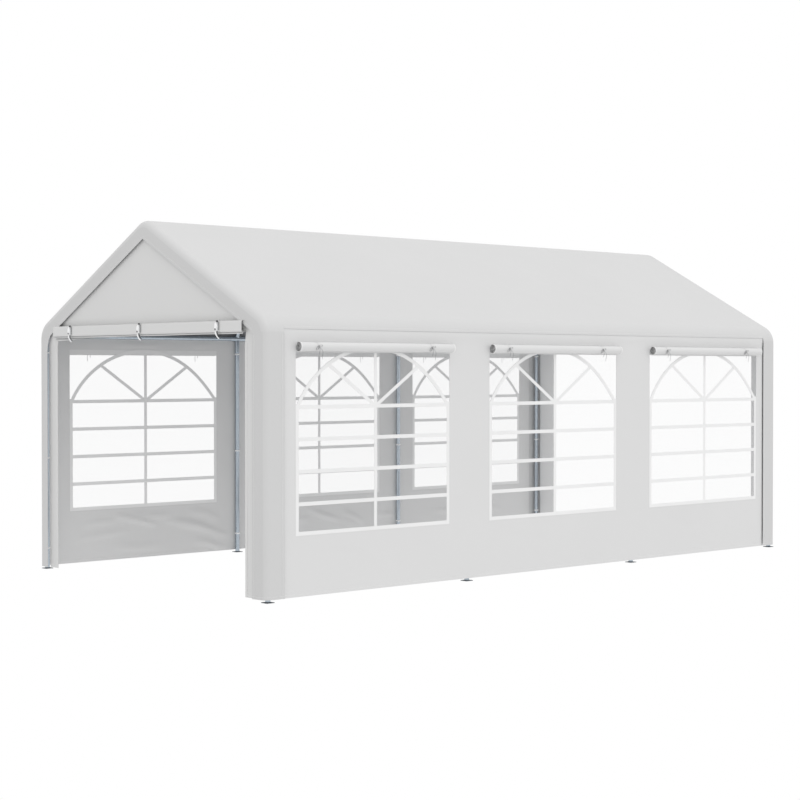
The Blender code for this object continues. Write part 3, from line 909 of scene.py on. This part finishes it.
def wall_line(side, stops, z=None, y=None):
    """A line along a side wall, level at a height or upright at a place along it."""
    out = ACROSS * side
    if z is not None:
        return [(wall_point(side, v, z), UP, out) for v in ticks(stops, LINE_STEP)]
    return [(wall_point(side, y, v), ALONG, out) for v in ticks(stops, LINE_STEP)]


def flipped(line):
    """The same line on the other face of the cloth."""
    return [(p - n * SKIN_T, a, -n) for p, a, n in line]


def in_window(point):
    """Whether a place on a side wall lies in a window opening."""
    beside = any(abs(point.y - centre) < WINDOW_HALF for centre in WINDOW_Y)
    return beside and WINDOW_LOW < point.z < WINDOW_TOP


def make_side_wall(word, side):
    """One long wall with its window openings, hems and seams."""
    back = WALL_BACK_Y[side]
    stops = [WALL_FRONT_Y]
    for centre in WINDOW_Y:
        stops += [centre - WINDOW_HALF, centre + WINDOW_HALF]
    ys = ticks(stops + [back], WALL_STEP_Y)
    zs = ticks([GROUND_CLEARANCE, WINDOW_LOW, WINDOW_TOP, WALL_TOP], WALL_STEP_Z)
    rows = [[wall_point(side, y, z) for y in ys] for z in zs]
    bm = bmesh.new()
    add_sheet(bm, rows, SKIN_T, mirrored=side < 0, skip=open_cells(rows, in_window), inner_slot=2)
    hem = wall_line(side, (WALL_FRONT_Y + 0.002, back - 0.002), z=GROUND_CLEARANCE + HEM_W / 2)
    add_hem(bm, hem)
    add_hem(bm, flipped(hem), slot=2)
    for end, turn in ((WALL_FRONT_Y + HEM_W / 2, 1), (back - HEM_W / 2, -1)):
        upright = wall_line(side, (GROUND_CLEARANCE, WALL_TOP - 0.01), y=end)
        add_hem(bm, upright, rows=(HEM_ROW * turn,), lift=OVER_HEM)
    for centre in WINDOW_Y:
        add_window_binding(bm, side, centre)
    materials = [WALL_FABRIC, THREAD, WALL_INSIDE, BAND_FABRIC]
    piece = finish_piece(f"side_wall_{word}_sheet", bm, materials, stands_for=f"side_wall_{word}")


def add_window_binding(bm, side, centre):
    """The folded edge round a window opening, and the band above it, on both faces."""
    low, high = centre - WINDOW_HALF, centre + WINDOW_HALF
    upright = (WINDOW_LOW - BINDING_W, WINDOW_TOP)
    edges = [wall_line(side, upright, y=y) for y in (low - BINDING_W / 2, high + BINDING_W / 2)]
    edges.append(wall_line(side, (low, high), z=WINDOW_LOW - BINDING_W / 2))
    for line in edges:
        add_ribbon(bm, line, BINDING_W, -SKIN_T - BINDING_RISE, BINDING_RISE)
    band = wall_line(side, (low, high), z=WINDOW_TOP + BAND_UP)
    add_hem(bm, flipped(band), width=BAND_W, slot=3, rows=BAND_ROWS)


# Windows


def make_film(name, side, centre):
    """Clear film across one window, with very slight ripples."""
    half = WINDOW_HALF - SEAT_GAP
    ys = ticks((centre - half, centre + half), FILM_STEP)
    zs = ticks((WINDOW_LOW + SEAT_GAP, WINDOW_TOP - SEAT_GAP), FILM_STEP)
    rows = []
    for z in zs:
        row = []
        for y in ys:
            edge = min(half - abs(y - centre), z - zs[0], zs[-1] - z)
            wave = FILM_WAVE * smooth(0.0, 0.15, edge) * soft_noise(y * 3.0, z * 2.0, side)
            row.append(Vector((side * (FILM_X + FILM_T / 2 + wave), y, z)))
        rows.append(row)
    bm = bmesh.new()
    add_sheet(bm, rows, FILM_T, mirrored=side < 0)
    piece = finish_piece(f"{name}_film", bm, [FILM], name)


def make_window_bars(name, side, centre):
    """The white strips on one window: border, four cross strips, an upright, two rays, an arch."""
    bm = bmesh.new()
    middle = side * FILM_X

    def strip(start, end, across, thick, width=BAR_W):
        line = [(Vector((middle, centre + y, z)), across, ACROSS * side) for y, z in (start, end)]
        add_ribbon(bm, line, width, -thick / 2, thick / 2)

    inner = WINDOW_HALF - BAR_W / 2
    reach = WINDOW_HALF - BAR_W
    for y in (-inner, inner):
        strip((y, WINDOW_LOW), (y, ARCH_BASE + BAR_W * 0.8), ALONG, 0.0021)
    strip((-reach, WINDOW_LOW + BAR_W / 2), (reach, WINDOW_LOW + BAR_W / 2), UP, 0.0019)
    for i in range(4):
        z = ARCH_BASE - BAR_PITCH * i
        strip((-reach, z), (reach, z), UP, 0.0018)
    strip((0, WINDOW_LOW + BAR_W), (0, WINDOW_TOP - 0.0005), ALONG, 0.0020)
    for sign in (-1, 1):
        ray = Vector((0, sign * math.cos(RAY_TURN), math.sin(RAY_TURN)))
        start, end = ((ray.y * d, ARCH_BASE + ray.z * d) for d in (RAY_START, ray_length(ray)))
        strip(start, end, Vector((0, -ray.z, ray.y)), 0.0016, BAR_W * 0.95)
    line = []
    for share in arc(-1.0, 1.0, ARCH_STEPS):
        point, ray = arch_point(share)
        line.append((point + Vector((middle, centre, 0)), ray, ACROSS * side))
    add_ribbon(bm, line, BAR_W, -0.0030, 0.00125)
    finish_piece(f"{name}_strips", bm, [STRIP_AND_RIM_HIGHLIGHT])


def arch_point(share):
    """A point of the arch, -1 to 1 along it, and its ray; the arch leans a little to the front."""
    angle = ARCH_SWING * share
    ray = Vector((0, math.sin(angle), math.cos(angle)))
    lean = (ARCH_LEAN[0] + ARCH_LEAN[1] * share) * (1 - share ** 6)
    return Vector((0, lean, ARCH_Z)) + ray * ARCH_R, ray


def ray_length(direction):
    """How far a ray from the middle of the arch's base line runs to the arch."""
    ways = (arch_point(share)[0] - UP * ARCH_BASE for share in arc(-1.0, 1.0, RAY_STEPS))
    return max(ways, key=lambda way: way.normalized().dot(direction)).length


# Rolled flaps


def flap_section():
    """A rolled flap's section, from the wall down round to its core, as (out, up) from the roll."""
    points = [(-FLAP_R, 0.045 - 0.005 * i) for i in range(ROLL_LEAD)]
    for i in range(int((FLAP_R - ROLL_CORE) / ROLL_PITCH * ROLL_STEPS) + 1):
        angle = math.pi + 2 * math.pi * i / ROLL_STEPS
        points.append(on_arc(0.0, 0.0, FLAP_R - ROLL_PITCH * i / ROLL_STEPS, angle))
    return points


def add_roll(bm, points, side, centre):
    """Sweep a flap's section along its roll, with uneven ends and a squeeze under each tie."""
    middle = Vector((side * FLAP_X, centre, FLAP_Z))
    seed = centre * 3 + side
    stops = ticks((-FLAP_HALF, FLAP_HALF), FLAP_HALF / 17)
    rows = []
    for i, (a, b) in enumerate(points):
        trim = 0.0015 + 0.0025 * (1 + soft_noise(i * 0.045, seed, 0.0)) if i > 30 else 0.0
        radius = math.hypot(a, b)
        row = []
        for s in stops:
            squeeze = sum(SQUEEZE * math.exp(-((s - p) / 0.03) ** 2) for p in FLAP_TIES[side])
            wave = FLAP_WAVE * soft_noise(s * 2.0, seed, 2.0)
            scale = 1.0 - (squeeze + max(0.0, wave)) / max(radius, 0.01) * min(1.0, radius / 0.03)
            row.append(middle + Vector((side * a * scale, s * (1 - trim / FLAP_HALF), b * scale)))
        rows.append(row)
    # The inner layers take the near-black cloth painted as shade between the turns
    add_sheet(bm, rows, ROLL_T, mirrored=side < 0, inner_slot=2, inner_from=ROLL_LEAD)


def flap_line(side, centre, reach, x, z):
    """A level line along a flap, as far as `reach` each way."""
    ys = ticks((centre - reach, centre + reach), 0.1)
    return [(Vector((side * x, y, z)), UP, ACROSS * side) for y in ys]


def make_flap(name, side, centre):
    """A window flap rolled up above its window, sewn to the wall along its top."""
    bm = bmesh.new()
    points = flap_section()
    add_roll(bm, points, side, centre)
    add_stitches(bm, flap_line(side, centre, FLAP_HALF, WALL_X + 0.0012, FLAP_Z + 0.042), 0.0, 0.0)
    edge = flap_line(side, centre, FLAP_HALF - 0.004, WALL_X + 0.010, FLAP_Z - FLAP_R - 0.003)
    add_ribbon(bm, edge, 0.007, 0.0, 0.0012)
    # A bright ring round each end of the roll is a painted highlight on its rim
    for end in (-1, 1):
        spot = Vector((side * FLAP_X, centre + end * (FLAP_HALF - 0.005), FLAP_Z))
        add_ribbon(bm, ring_line(spot, side, FLAP_R - 0.0012, math.pi * 0.96), 0.009, 0.0, 0.0011, 3)
    piece = finish_piece(f"{name}_roll", bm, [WALL_FABRIC, THREAD, ROLL_SHADE, STRIP_AND_RIM_HIGHLIGHT], stands_for=name)
    ties = make_flap_ties(name, side, centre)


def ring_line(centre, side, radius, reach):
    """A line round a flap's roll, as far as an angle each way, for a tape that hugs it."""
    line = []
    for angle in arc(reach, -reach, 40):
        ray = Vector((side * math.cos(angle), 0, math.sin(angle)))
        line.append((centre + ray * radius, ALONG * side, ray))
    return line


def hanging_line(start, side, drop, lean):
    """A tape end that falls from a knot, off to one side and then straight down."""
    line = []
    for share in arc(0.0, 1.0, 12):
        sway = 0.002 * math.sin(share * 5.0) + lean * smooth(0.0, 0.45, share)
        shift = Vector((side * 0.006 * math.sin(share * math.pi), sway, -drop * share))
        line.append((start + shift, ALONG, ACROSS * side))
    return line


def bow_loop(start, ahead, out, reach, rise):
    """One loop of a bow, out from the knot and back to it."""
    up = ahead.cross(out)
    line = []
    for angle in arc(0.0, 2 * math.pi, 16):
        share = (1 - math.cos(angle)) / 2
        point = start + ahead * reach * share + up * rise * math.sin(angle) + out * 0.004 * share
        line.append((point, out, up * math.cos(angle) - ahead * math.sin(angle)))
    return line


def make_flap_ties(name, side, centre):
    """Two narrow tapes tied in bows round a rolled flap."""
    bm = bmesh.new()
    out = ACROSS * side
    ray = out * math.cos(BOW_ANGLE) + UP * math.sin(BOW_ANGLE)
    for place in FLAP_TIES[side]:
        here = Vector((side * FLAP_X, centre + place, FLAP_Z))
        ring = ring_line(here, side, FLAP_R - 0.0009, math.pi * 0.98)
        add_ribbon(bm, ring, TIE_W, 0.0, 0.0010, 1)
        knot = here + ray * (FLAP_R + 0.002)
        profile = ((0, 0.001), (0.002, 0.0040), (0.007, 0.0040), (0.009, 0.001))
        add_turned(bm, knot - ALONG * 0.0045, ALONG, profile, 12)
        for reach, rise, tilt in BOW_LOOPS:
            ahead = ALONG * side * math.cos(tilt) + UP * math.sin(tilt)
            add_ribbon(bm, bow_loop(knot, ahead, out, reach, rise), TIE_W, -0.0005, 0.0005)
        for lean, low in TIE_ENDS:
            line = hanging_line(knot + out * 0.003, side, knot.z - low, lean * side)
            add_ribbon(bm, line, 0.0040, -0.0004, 0.0004)
    return finish_piece(f"{name}_ties", bm, [TIE_TAPE_AND_SHADE, WALL_FABRIC])


# Rolled doors


def flat_ring(grow, corner, share):
    """A point of the flat roll's outline, grown by a little, from its back top edge and round."""
    half_out, half_up = DOOR_HALF_DEEP + grow, DOOR_HALF_HIGH + grow
    sides = (2 * (half_up - corner), 2 * (half_out - corner)) * 2
    bend = corner * math.pi / 2
    left = share * (sum(sides) + 4 * bend)
    angle = math.pi
    x, z = corner - half_out, half_up - corner
    for i, length in enumerate(sides):
        if left <= length:
            x, z = on_arc(x, z, corner, angle)
            return on_arc(x, z, left, angle + math.pi / 2)
        left -= length
        x, z = on_arc(x, z, length, angle + math.pi / 2)
        if left <= bend or i == 3:
            return on_arc(x, z, corner, angle + left / corner)
        left -= bend
        angle += math.pi / 2
    raise ValueError("a share lies between 0 and 1")


def door_section():
    """The rolled door's section, from its top edge at the gable round and round to its core."""
    points = []
    for i in range(int(DOOR_TURNS * DOOR_STEPS) + 1):
        sunk = DOOR_PITCH * i / DOOR_STEPS
        corner = max(0.003, DOOR_EDGE_R - 0.5 * sunk)
        points.append(flat_ring(-sunk, corner, (i % DOOR_STEPS) / DOOR_STEPS))
    return points


def behind_border(point):
    """Whether a place of a door roll lies behind the border of its gable."""
    return abs(point.y) < SKIN_Y + 0.002 and point.z > border_low_z(point.x) - 0.002


def make_door(word, side):
    """The rolled door of one gable, with the lips of its edges below the roll."""
    points = door_section()
    inner = DOOR_HALF - DOOR_FINE_END
    stops = ticks((-DOOR_HALF, -inner), 0.006)[:-1] + ticks((-inner, inner), 0.08)
    stops += ticks((inner, DOOR_HALF), 0.006)[1:]
    rows = []
    for i, (a, b) in enumerate(points):
        trim = smooth(30, 60, i) * (0.008 + 0.004 * (1 + soft_noise(i * 0.045, 20.0 + side, 0.0)))
        row = []
        for x in stops:
            pinch = sum(SQUEEZE * math.exp(-((x - p) / 0.025) ** 2) for p in DOOR_STRAP_X)
            wave = pinch + DOOR_WAVE * (1 + soft_noise(x * 2.2, side, 2.0))
            y = side * (DOOR_Y + a * (1 - wave / 0.03))
            row.append(Vector((x * (1 - trim / DOOR_HALF), y, DOOR_Z + b)))
        rows.append(row)
    bm = bmesh.new()
    add_sheet(bm, rows, ROLL_T, mirrored=side > 0, skip=open_cells(rows, behind_border))
    add_lips(bm, side)
    materials = [GABLE_FABRIC, THREAD, TIE_TAPE_AND_SHADE]
    piece = finish_piece(f"door_roll_{word}_sheet", bm, materials, stands_for=f"door_roll_{word}")
    straps = make_door_straps(word, side)


def lip_fall(x):
    """How far the door's edge hangs below the roll, along its whole length."""
    return 0.012 + 0.0015 * soft_noise(x * 2.0, 1.0, 0.0)


def tail_fall(x):
    """How far the second layer hangs, from the left end until it runs out."""
    return DOOR_TAIL_DROP * min(1.0, max(0.0, (DOOR_TAIL_START - x) / DOOR_TAIL_RUN)) ** 0.9


def add_lips(bm, side):
    """The two free edges of the rolled door that hang below it, and grey strips painted as their shadow
    lines.
    """
    out = ALONG * side
    whole = ticks((-DOOR_HALF + 0.001, DOOR_HALF - 0.001), 0.04)
    short = ticks((-DOOR_HALF + 0.004, DOOR_TAIL_X), 0.04)
    for xs, fall, depth in ((whole, lip_fall, 0.008), (short, tail_fall, -0.010)):
        rows = []
        for share in (1.0, 0.7, 0.35, 0.0):
            y = side * (DOOR_Y + depth + 0.003 * share)
            rows.append([Vector((x, y, DOOR_LOW_Z + 0.0008 - fall(x) * share)) for x in xs])
        add_sheet(bm, rows, 0.0012, mirrored=side > 0)
        add_ribbon(bm, [(p + UP * 0.0035, UP, out) for p in rows[0]], 0.007, -0.0006, 0.0010)
    # Grey strips painted as the shadow lines under the lips
    for last, drop, width in ((DOOR_HALF - 0.006, 0.002, 0.003), (DOOR_TAIL_X, 0.017, 0.005)):
        y, z = side * (DOOR_Y + 0.016 - drop), DOOR_LOW_Z - drop
        line = [(Vector((x, y, z)), UP, out) for x in ticks((-DOOR_HALF + 0.006, last), 0.05)]
        add_ribbon(bm, line, width, 0.0, 0.0010, 2)


def strap_line(x, side):
    """A line round the rolled door at one place along it, for a tape that hugs it."""
    line = []
    for share in (i / 60 for i in range(60)):
        a, b = flat_ring(-0.0006, DOOR_EDGE_R - 0.0006, share)
        c, d = flat_ring(0.0094, DOOR_EDGE_R + 0.0094, share)
        ray = Vector((0, side * (c - a), d - b)).normalized()
        line.append((Vector((x, side * (DOOR_Y + a), DOOR_Z + b)), ACROSS, ray))
    return line


def make_door_straps(word, side):
    """Three webbing straps with white buckles that hold the rolled door."""
    bm = bmesh.new()
    for x in DOOR_STRAP_X:
        add_ribbon(bm, strap_line(x, side), STRAP_W, 0.0, TAPE_T)
        add_buckle(bm, x, side)
        add_strap_tail(bm, x, side)
    return finish_piece(f"door_straps_{word}", bm, [WEBBING, PLASTIC, SHADE_BLACK, TIE_TAPE_AND_SHADE])


def add_buckle(bm, x, side):
    """A crowned side-release buckle on the front of the roll, near-black blocks painted as shade in its slot
    and at the knot above it, and a grey block painted as the strap's shadow beside it.
    """
    out = ALONG * side
    front = Vector((x - 0.005, side * (DOOR_Y + DOOR_HALF_DEEP + 0.001), DOOR_Z + 0.002))
    rings = []
    for angle in arc(-1.45, 1.45, 12):
        half = 0.0165 * math.cos(angle * 0.75)
        crown = 0.016 * math.cos(angle) ** 0.7
        level = front + UP * 0.031 * math.sin(angle)
        ring = []
        for turn in arc(math.pi, 0.0, 8):
            rise = max(0.0004, crown * math.sin(turn) ** 0.6)
            ring.append(level + ACROSS * half * math.cos(turn) + out * rise)
        rings.append(ring)
    add_loft(bm, rings, 1)
    for place, size, bevel, slot in (
        ((0.001, 0.0135, -0.021), (0.010, 0.011, 0.004), 0.0, 2),
        ((0.026, 0.002, 0.002), (0.009, 0.060, 0.004), 0.0, 3),
        ((0.017, 0.008, 0.037), (0.017, 0.013, 0.008), 0.002, 2),
    ):
        centre = front + Vector((place[0], side * place[1], place[2]))
        add_block(bm, centre, size, (ACROSS, UP, out), bevel, slot)


def add_strap_tail(bm, x, side):
    """The loose end of a strap, hanging from the buckle and out to the right, with a near-black strip beside
    it painted as its shadow.
    """
    out = ALONG * side
    face = side * (DOOR_Y + DOOR_HALF_DEEP + 0.004)
    for start, end, width, slot in (
        ((-0.014, -0.034), (0.034, -0.088), 0.016, 1),
        ((0.006, -0.034), (0.046, -0.077), 0.014, 2),
    ):
        line = []
        for share in arc(0.0, 1.0, 8):
            right = start[0] + (end[0] - start[0]) * share ** 1.2
            point = Vector((x + right, face, DOOR_Z + start[1] + (end[1] - start[1]) * share))
            line.append((point + out * 0.008 * math.sin(share * 2.6), ACROSS, out))
        add_ribbon(bm, line, width, 0.0, TAPE_T, slot)


# End panels


def panel_top(x):
    """Top edge of a gable panel, a little below the outside of the roof."""
    radius = RIDGE_R - PANEL_INSET
    if abs(x) <= radius * math.cos(NORMAL_ANGLE):
        return RIDGE_ARC_Z + math.sqrt(radius ** 2 - x ** 2)
    return SLOPE_PEAK_Z - PANEL_INSET / math.cos(SLOPE) - abs(x) * RISE


def jamb_bow(x, z):
    """How far the cloth bellies out beside the doorway and over it, clear of the rolled door."""
    above = JAMB_BULGE * smooth(DOOR_TOP_Z + 0.005, DOOR_TOP_Z + 0.055, z)
    if abs(x) < PANEL_JAMB_IN - 0.001:
        return above
    bow = JAMB_BULGE * (1.0 - smooth(PANEL_HEAD, 2.06, z))
    beside = smooth(DOOR_HALF + 0.004, DOOR_HALF + 0.03, abs(x))
    return max(above, bow * max(beside, 1.0 - smooth(1.84, 1.90, z)))


def panel_point(x, side, z):
    """A point of an end panel's outer face, with its belly and a slight unevenness."""
    calm = smooth(0.0, 0.10, panel_top(x) - z)
    ripple = PANEL_WAVE * calm * soft_noise(x * 2.0 + z, z * 1.6, 12.0)
    return Vector((x, side * (PANEL_Y - ripple + jamb_bow(x, z)), z))


def in_doorway(point):
    """Whether a place of an end panel lies in the doorway."""
    return abs(point.x) < PANEL_JAMB_IN and point.z < PANEL_HEAD


def make_end_panel(word, side):
    """The gable's triangle and jambs, with the plackets that the door closes on."""
    reach = PANEL_OUT[side]
    xs = ticks((-reach, -PANEL_JAMB_IN, 0.0, PANEL_JAMB_IN, reach), PANEL_STEP_X)
    zs = ticks((GROUND_CLEARANCE, PANEL_HEAD), PANEL_STEP_Z)
    rows = [[panel_point(x, side, z) for x in xs] for z in zs]
    for share in arc(0.0, 1.0, PANEL_RISES)[1:]:
        rows.append([panel_point(x, side, PANEL_HEAD + (panel_top(x) - PANEL_HEAD) * share) for x in xs])
    bm = bmesh.new()
    # The inner face takes the lighter copy painted as light
    add_sheet(bm, rows, SKIN_T, mirrored=side > 0, skip=open_cells(rows, in_doorway), inner_slot=3)
    for sign in (-1, 1):
        add_jamb_trim(bm, sign, side)
    head = []
    for x in ticks((-PANEL_JAMB_IN, PANEL_JAMB_IN), 0.08):
        head.append((Vector((x, side * PANEL_Y, PANEL_HEAD + HEM_W / 2)), UP, ALONG * side))
    add_hem(bm, head, rows=(0.3,))
    materials = [GABLE_FABRIC, THREAD, JAMB_FABRIC, GABLE_INSIDE_LIT]
    piece = finish_piece(f"end_panel_{word}_sheet", bm, materials, stands_for=f"end_panel_{word}")


def add_jamb_trim(bm, sign, side):
    """The placket along a jamb's inner edge, its stitching, and the hem at its foot."""
    out = ALONG * side
    line = []
    for z in ticks((GROUND_CLEARANCE + 0.0005, DOOR_LOW_Z - 0.002), 0.04):
        x = PANEL_JAMB_IN + PLACKET_W / 2 + 0.0012 * soft_noise(z * 2.0, sign, side)
        line.append((Vector((sign * x, side * (PANEL_Y + jamb_bow(x, z)), z)), ACROSS * sign, out))
    add_ribbon(bm, line, PLACKET_W, 0.0, TAPE_T, slot=2)
    for share in (-0.38, 0.38):
        add_stitches(bm, line, PLACKET_W * share, TAPE_T)
    foot = []
    for x in (PANEL_JAMB_IN + PLACKET_W, PANEL_OUT[side]):
        y = side * (PANEL_Y + jamb_bow(x, 0))
        foot.append((Vector((sign * x, y, GROUND_CLEARANCE + HEM_W / 2)), UP, out))
    add_hem(bm, foot)


# Steel frame


def add_hex_bolt(bm, point, axis, reach):
    """A bolt through a tube: hexagon head and washer on one side, nut on the other."""
    for sign in (-1, 1):
        start, way = Vector(point) + axis * sign * reach, axis * sign
        add_turned(bm, start, way, ((-0.002, 0.0075), (0.0012, 0.0075)), 20, 1)
        add_turned(bm, start, way, ((0.0012, 0.0055), (0.0050, 0.0055), (0.0056, 0.0046)), 6, 1)


def make_post(name, x, y):
    """A leg: tube, welded foot plate with anchor holes, and a mark round the tube at two heights."""
    bm = bmesh.new()
    top = BAR_Z - SLEEVE_R - SEAT_GAP
    tube = ((FOOT_T - 0.0005, TUBE_R), (top - 0.001, TUBE_R), (top, TUBE_R - 0.001))
    add_turned(bm, (x, y, 0), UP, tube)
    weld = ((-0.0005, 0.0245), (0.001, 0.0238), (0.003, 0.0208), (0.005, 0.0188))
    # The weld takes the foot plate's dark metal, painted as contact shade
    add_turned(bm, (x, y, FOOT_T), UP, weld, slot=1)
    add_foot_plate(bm, x, y)
    for z in TUBE_MARKS_Z:
        mark = ((-0.0006, TUBE_R - 0.0004), (0.0, TUBE_R + 0.0004), (0.0006, TUBE_R - 0.0004))
        add_turned(bm, (x, y, z), UP, mark)
    finish_piece(f"post_{name}_tube", bm, [STEEL, PLATE], f"post_{name}")


def add_foot_plate(bm, x, y):
    """The square plate under a leg, with rounded corners and four holes for anchors."""
    corner, hole_r, inset = 0.006, 0.0045, 0.025
    middle = FOOT_SIDE / 2 - corner
    quarters = ((1, 1), (-1, 1), (-1, -1), (1, -1))
    loops = [[]]
    for i, (u, v) in enumerate(quarters):
        turns = arc(i * math.pi / 2, (i + 1) * math.pi / 2, 4)
        loops[0] += [on_arc(x + u * middle, y + v * middle, corner, turn) for turn in turns]
    holes = [(x + u * inset, y + v * inset) for u, v in quarters]
    for hole_x, hole_y in holes:
        loops.append([on_arc(hole_x, hole_y, hole_r, 2 * math.pi * k / 16) for k in range(16)])
    plate = bmesh.new()
    edges = []
    for loop in loops:
        verts = [plate.verts.new((a, b, FOOT_T)) for a, b in loop]
        edges += [plate.edges.new((verts[i - 1], verts[i])) for i in range(len(verts))]
    bmesh.ops.triangle_fill(plate, use_beauty=True, edges=edges, normal=UP)
    for face in list(plate.faces):
        middle = face.calc_center_median()
        if any(math.dist(middle[:2], hole) < hole_r for hole in holes):
            plate.faces.remove(face)
    lower = bmesh.ops.extrude_face_region(plate, geom=list(plate.faces))
    moved = [v for v in lower["geom"] if isinstance(v, bmesh.types.BMVert)]
    bmesh.ops.translate(plate, verts=moved, vec=(0, 0, -FOOT_T))
    # The plate takes the dark metal painted as contact shade
    for face in plate.faces:
        face.material_index = 1
    spare = bpy.data.meshes.new("foot_plate")
    plate.to_mesh(spare)
    plate.free()
    bm.from_mesh(spare)
    bpy.data.meshes.remove(spare)


def make_wall_ties(name, x, y):
    """Three white loops that tie a side wall to a leg."""
    bm = bmesh.new()
    half, lip = TIE_RING_HALF, TIE_RING_R - 0.0012
    profile = ((-half, lip), (0.001 - half, TIE_RING_R), (half - 0.001, TIE_RING_R), (half, lip))
    for z in TIE_Z:
        add_turned(bm, (x, y, z), UP, profile, 28)
        knot = Vector((x - math.copysign(0.020, x), y - 0.012, z))
        add_block(bm, knot, (0.010, 0.012, 0.013), bevel=0.003)
    finish_piece(f"wall_ties_{name}", bm, [PLASTIC])


def rafter_path():
    """Centre line of a roof frame: up out of one eave, over the ridge and down into the other."""
    bend_out = EAVE_R - SKIN_T - (SKIN_X - SKIN_T - POST_X - TUBE_R) / (1 - math.sin(SLOPE))
    bend_r = bend_out - TUBE_R
    bend_x = EAVE_ARC_X + (EAVE_R - SKIN_T - bend_out - SEAT_GAP) * math.cos(NORMAL_ANGLE)
    ridge_r = RIDGE_R - SKIN_T - SEAT_GAP - TUBE_R
    half = [(POST_X, BAR_Z - SLEEVE_R)]
    half += [on_arc(bend_x, BAR_Z, bend_r, angle) for angle in arc(0.0, NORMAL_ANGLE, 16)]
    half += [on_arc(0.0, RIDGE_ARC_Z, ridge_r, angle) for angle in arc(NORMAL_ANGLE, math.pi / 2, 8)]
    return both_halves(half)


def add_rod(bm, x, z, start, end, radius, lip):
    """A straight rod along the tent, with an eased edge at each end."""
    profile = ((start, radius - lip), (start + lip, radius), (end - lip, radius), (end, radius - lip))
    add_turned(bm, (x, 0, z), ALONG, profile)


def make_roof_frame(row, y, reach_back, reach_ahead):
    """A bent pair of rafters with its three sleeves and their bolts."""
    bm = bmesh.new()
    path = [Vector((x, y, z)) for x, z in rafter_path()]
    add_tube(bm, path, [TUBE_R] * len(path), 28)
    for x, z in ((-POST_X, BAR_Z), (0.0, RIDGE_BAR_Z), (POST_X, BAR_Z)):
        add_rod(bm, x, z, y - reach_back, y + reach_ahead, SLEEVE_R, 0.0015)
        axis, reach = (UP, SLEEVE_R - 0.010) if x else (ACROSS, SLEEVE_R - 0.0105)
        for shift in (-reach_back, reach_ahead):
            if shift:
                add_hex_bolt(bm, (x, y + shift * BOLT_SHARE, z), axis, reach)
    finish_piece(f"roof_frame_{row}_tube", bm, [STEEL, BOLT], f"roof_frame_{row}")


def make_bar(name):
    """A straight bar along the tent between two sleeves, with a rib near each end."""
    low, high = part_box(name)
    x, z = (low[0] + high[0]) / 2, (low[2] + high[2]) / 2
    bm = bmesh.new()
    add_rod(bm, x, z, low[1], high[1], TUBE_R, 0.001)
    rib = ((-0.003, -0.001), (-0.002, 0.0012), (0.002, 0.0012), (0.003, -0.001))
    for end in (low[1] + 0.006, high[1] - 0.006):
        add_turned(bm, (x, end, z), ALONG, [(d, TUBE_R + rise) for d, rise in rib])
    finish_piece(f"{name}_tube", bm, [STEEL], name)


def make_frame():
    """Legs, roof frames, and the bars along the ridge and the eaves."""
    for row, y in zip(ROWS, FRAME_Y):
        for word, side in SIDES:
            make_post(f"{row}_{word}", side * POST_X, y)
            make_wall_ties(f"{row}_{word}", side * POST_X, y)
    for row, y in zip(ROWS, FRAME_Y):
        back = 0.0 if row == "front" else SLEEVE_REACH
        ahead = 0.0 if row == "back" else SLEEVE_REACH
        make_roof_frame(row, y, back, ahead)
    for i in (1, 2, 3):
        make_bar(f"ridge_bar_{i}")
        for word, _ in SIDES:
            make_bar(f"eave_bar_{word}_{i}")


def make_fabric():
    """Every piece of cloth and film."""
    make_roof_cover()
    for y_word, side_y in (("front", -1), ("back", 1)):
        for x_word, side_x in SIDES:
            make_corner_cover(f"corner_cover_{y_word}_{x_word}", side_x, side_y)
        make_end_panel(y_word, side_y)
        make_door(y_word, side_y)
    for word, side in SIDES:
        make_side_wall(word, side)
        for i, centre in enumerate(WINDOW_Y, 1):
            make_film(f"window_{word}_{i}", side, centre)
            make_window_bars(f"window_{word}_{i}", side, centre)
            make_flap(f"window_flap_{word}_{i}", side, centre)


make_camera()
make_light()
make_floor()
make_frame()
make_fabric()
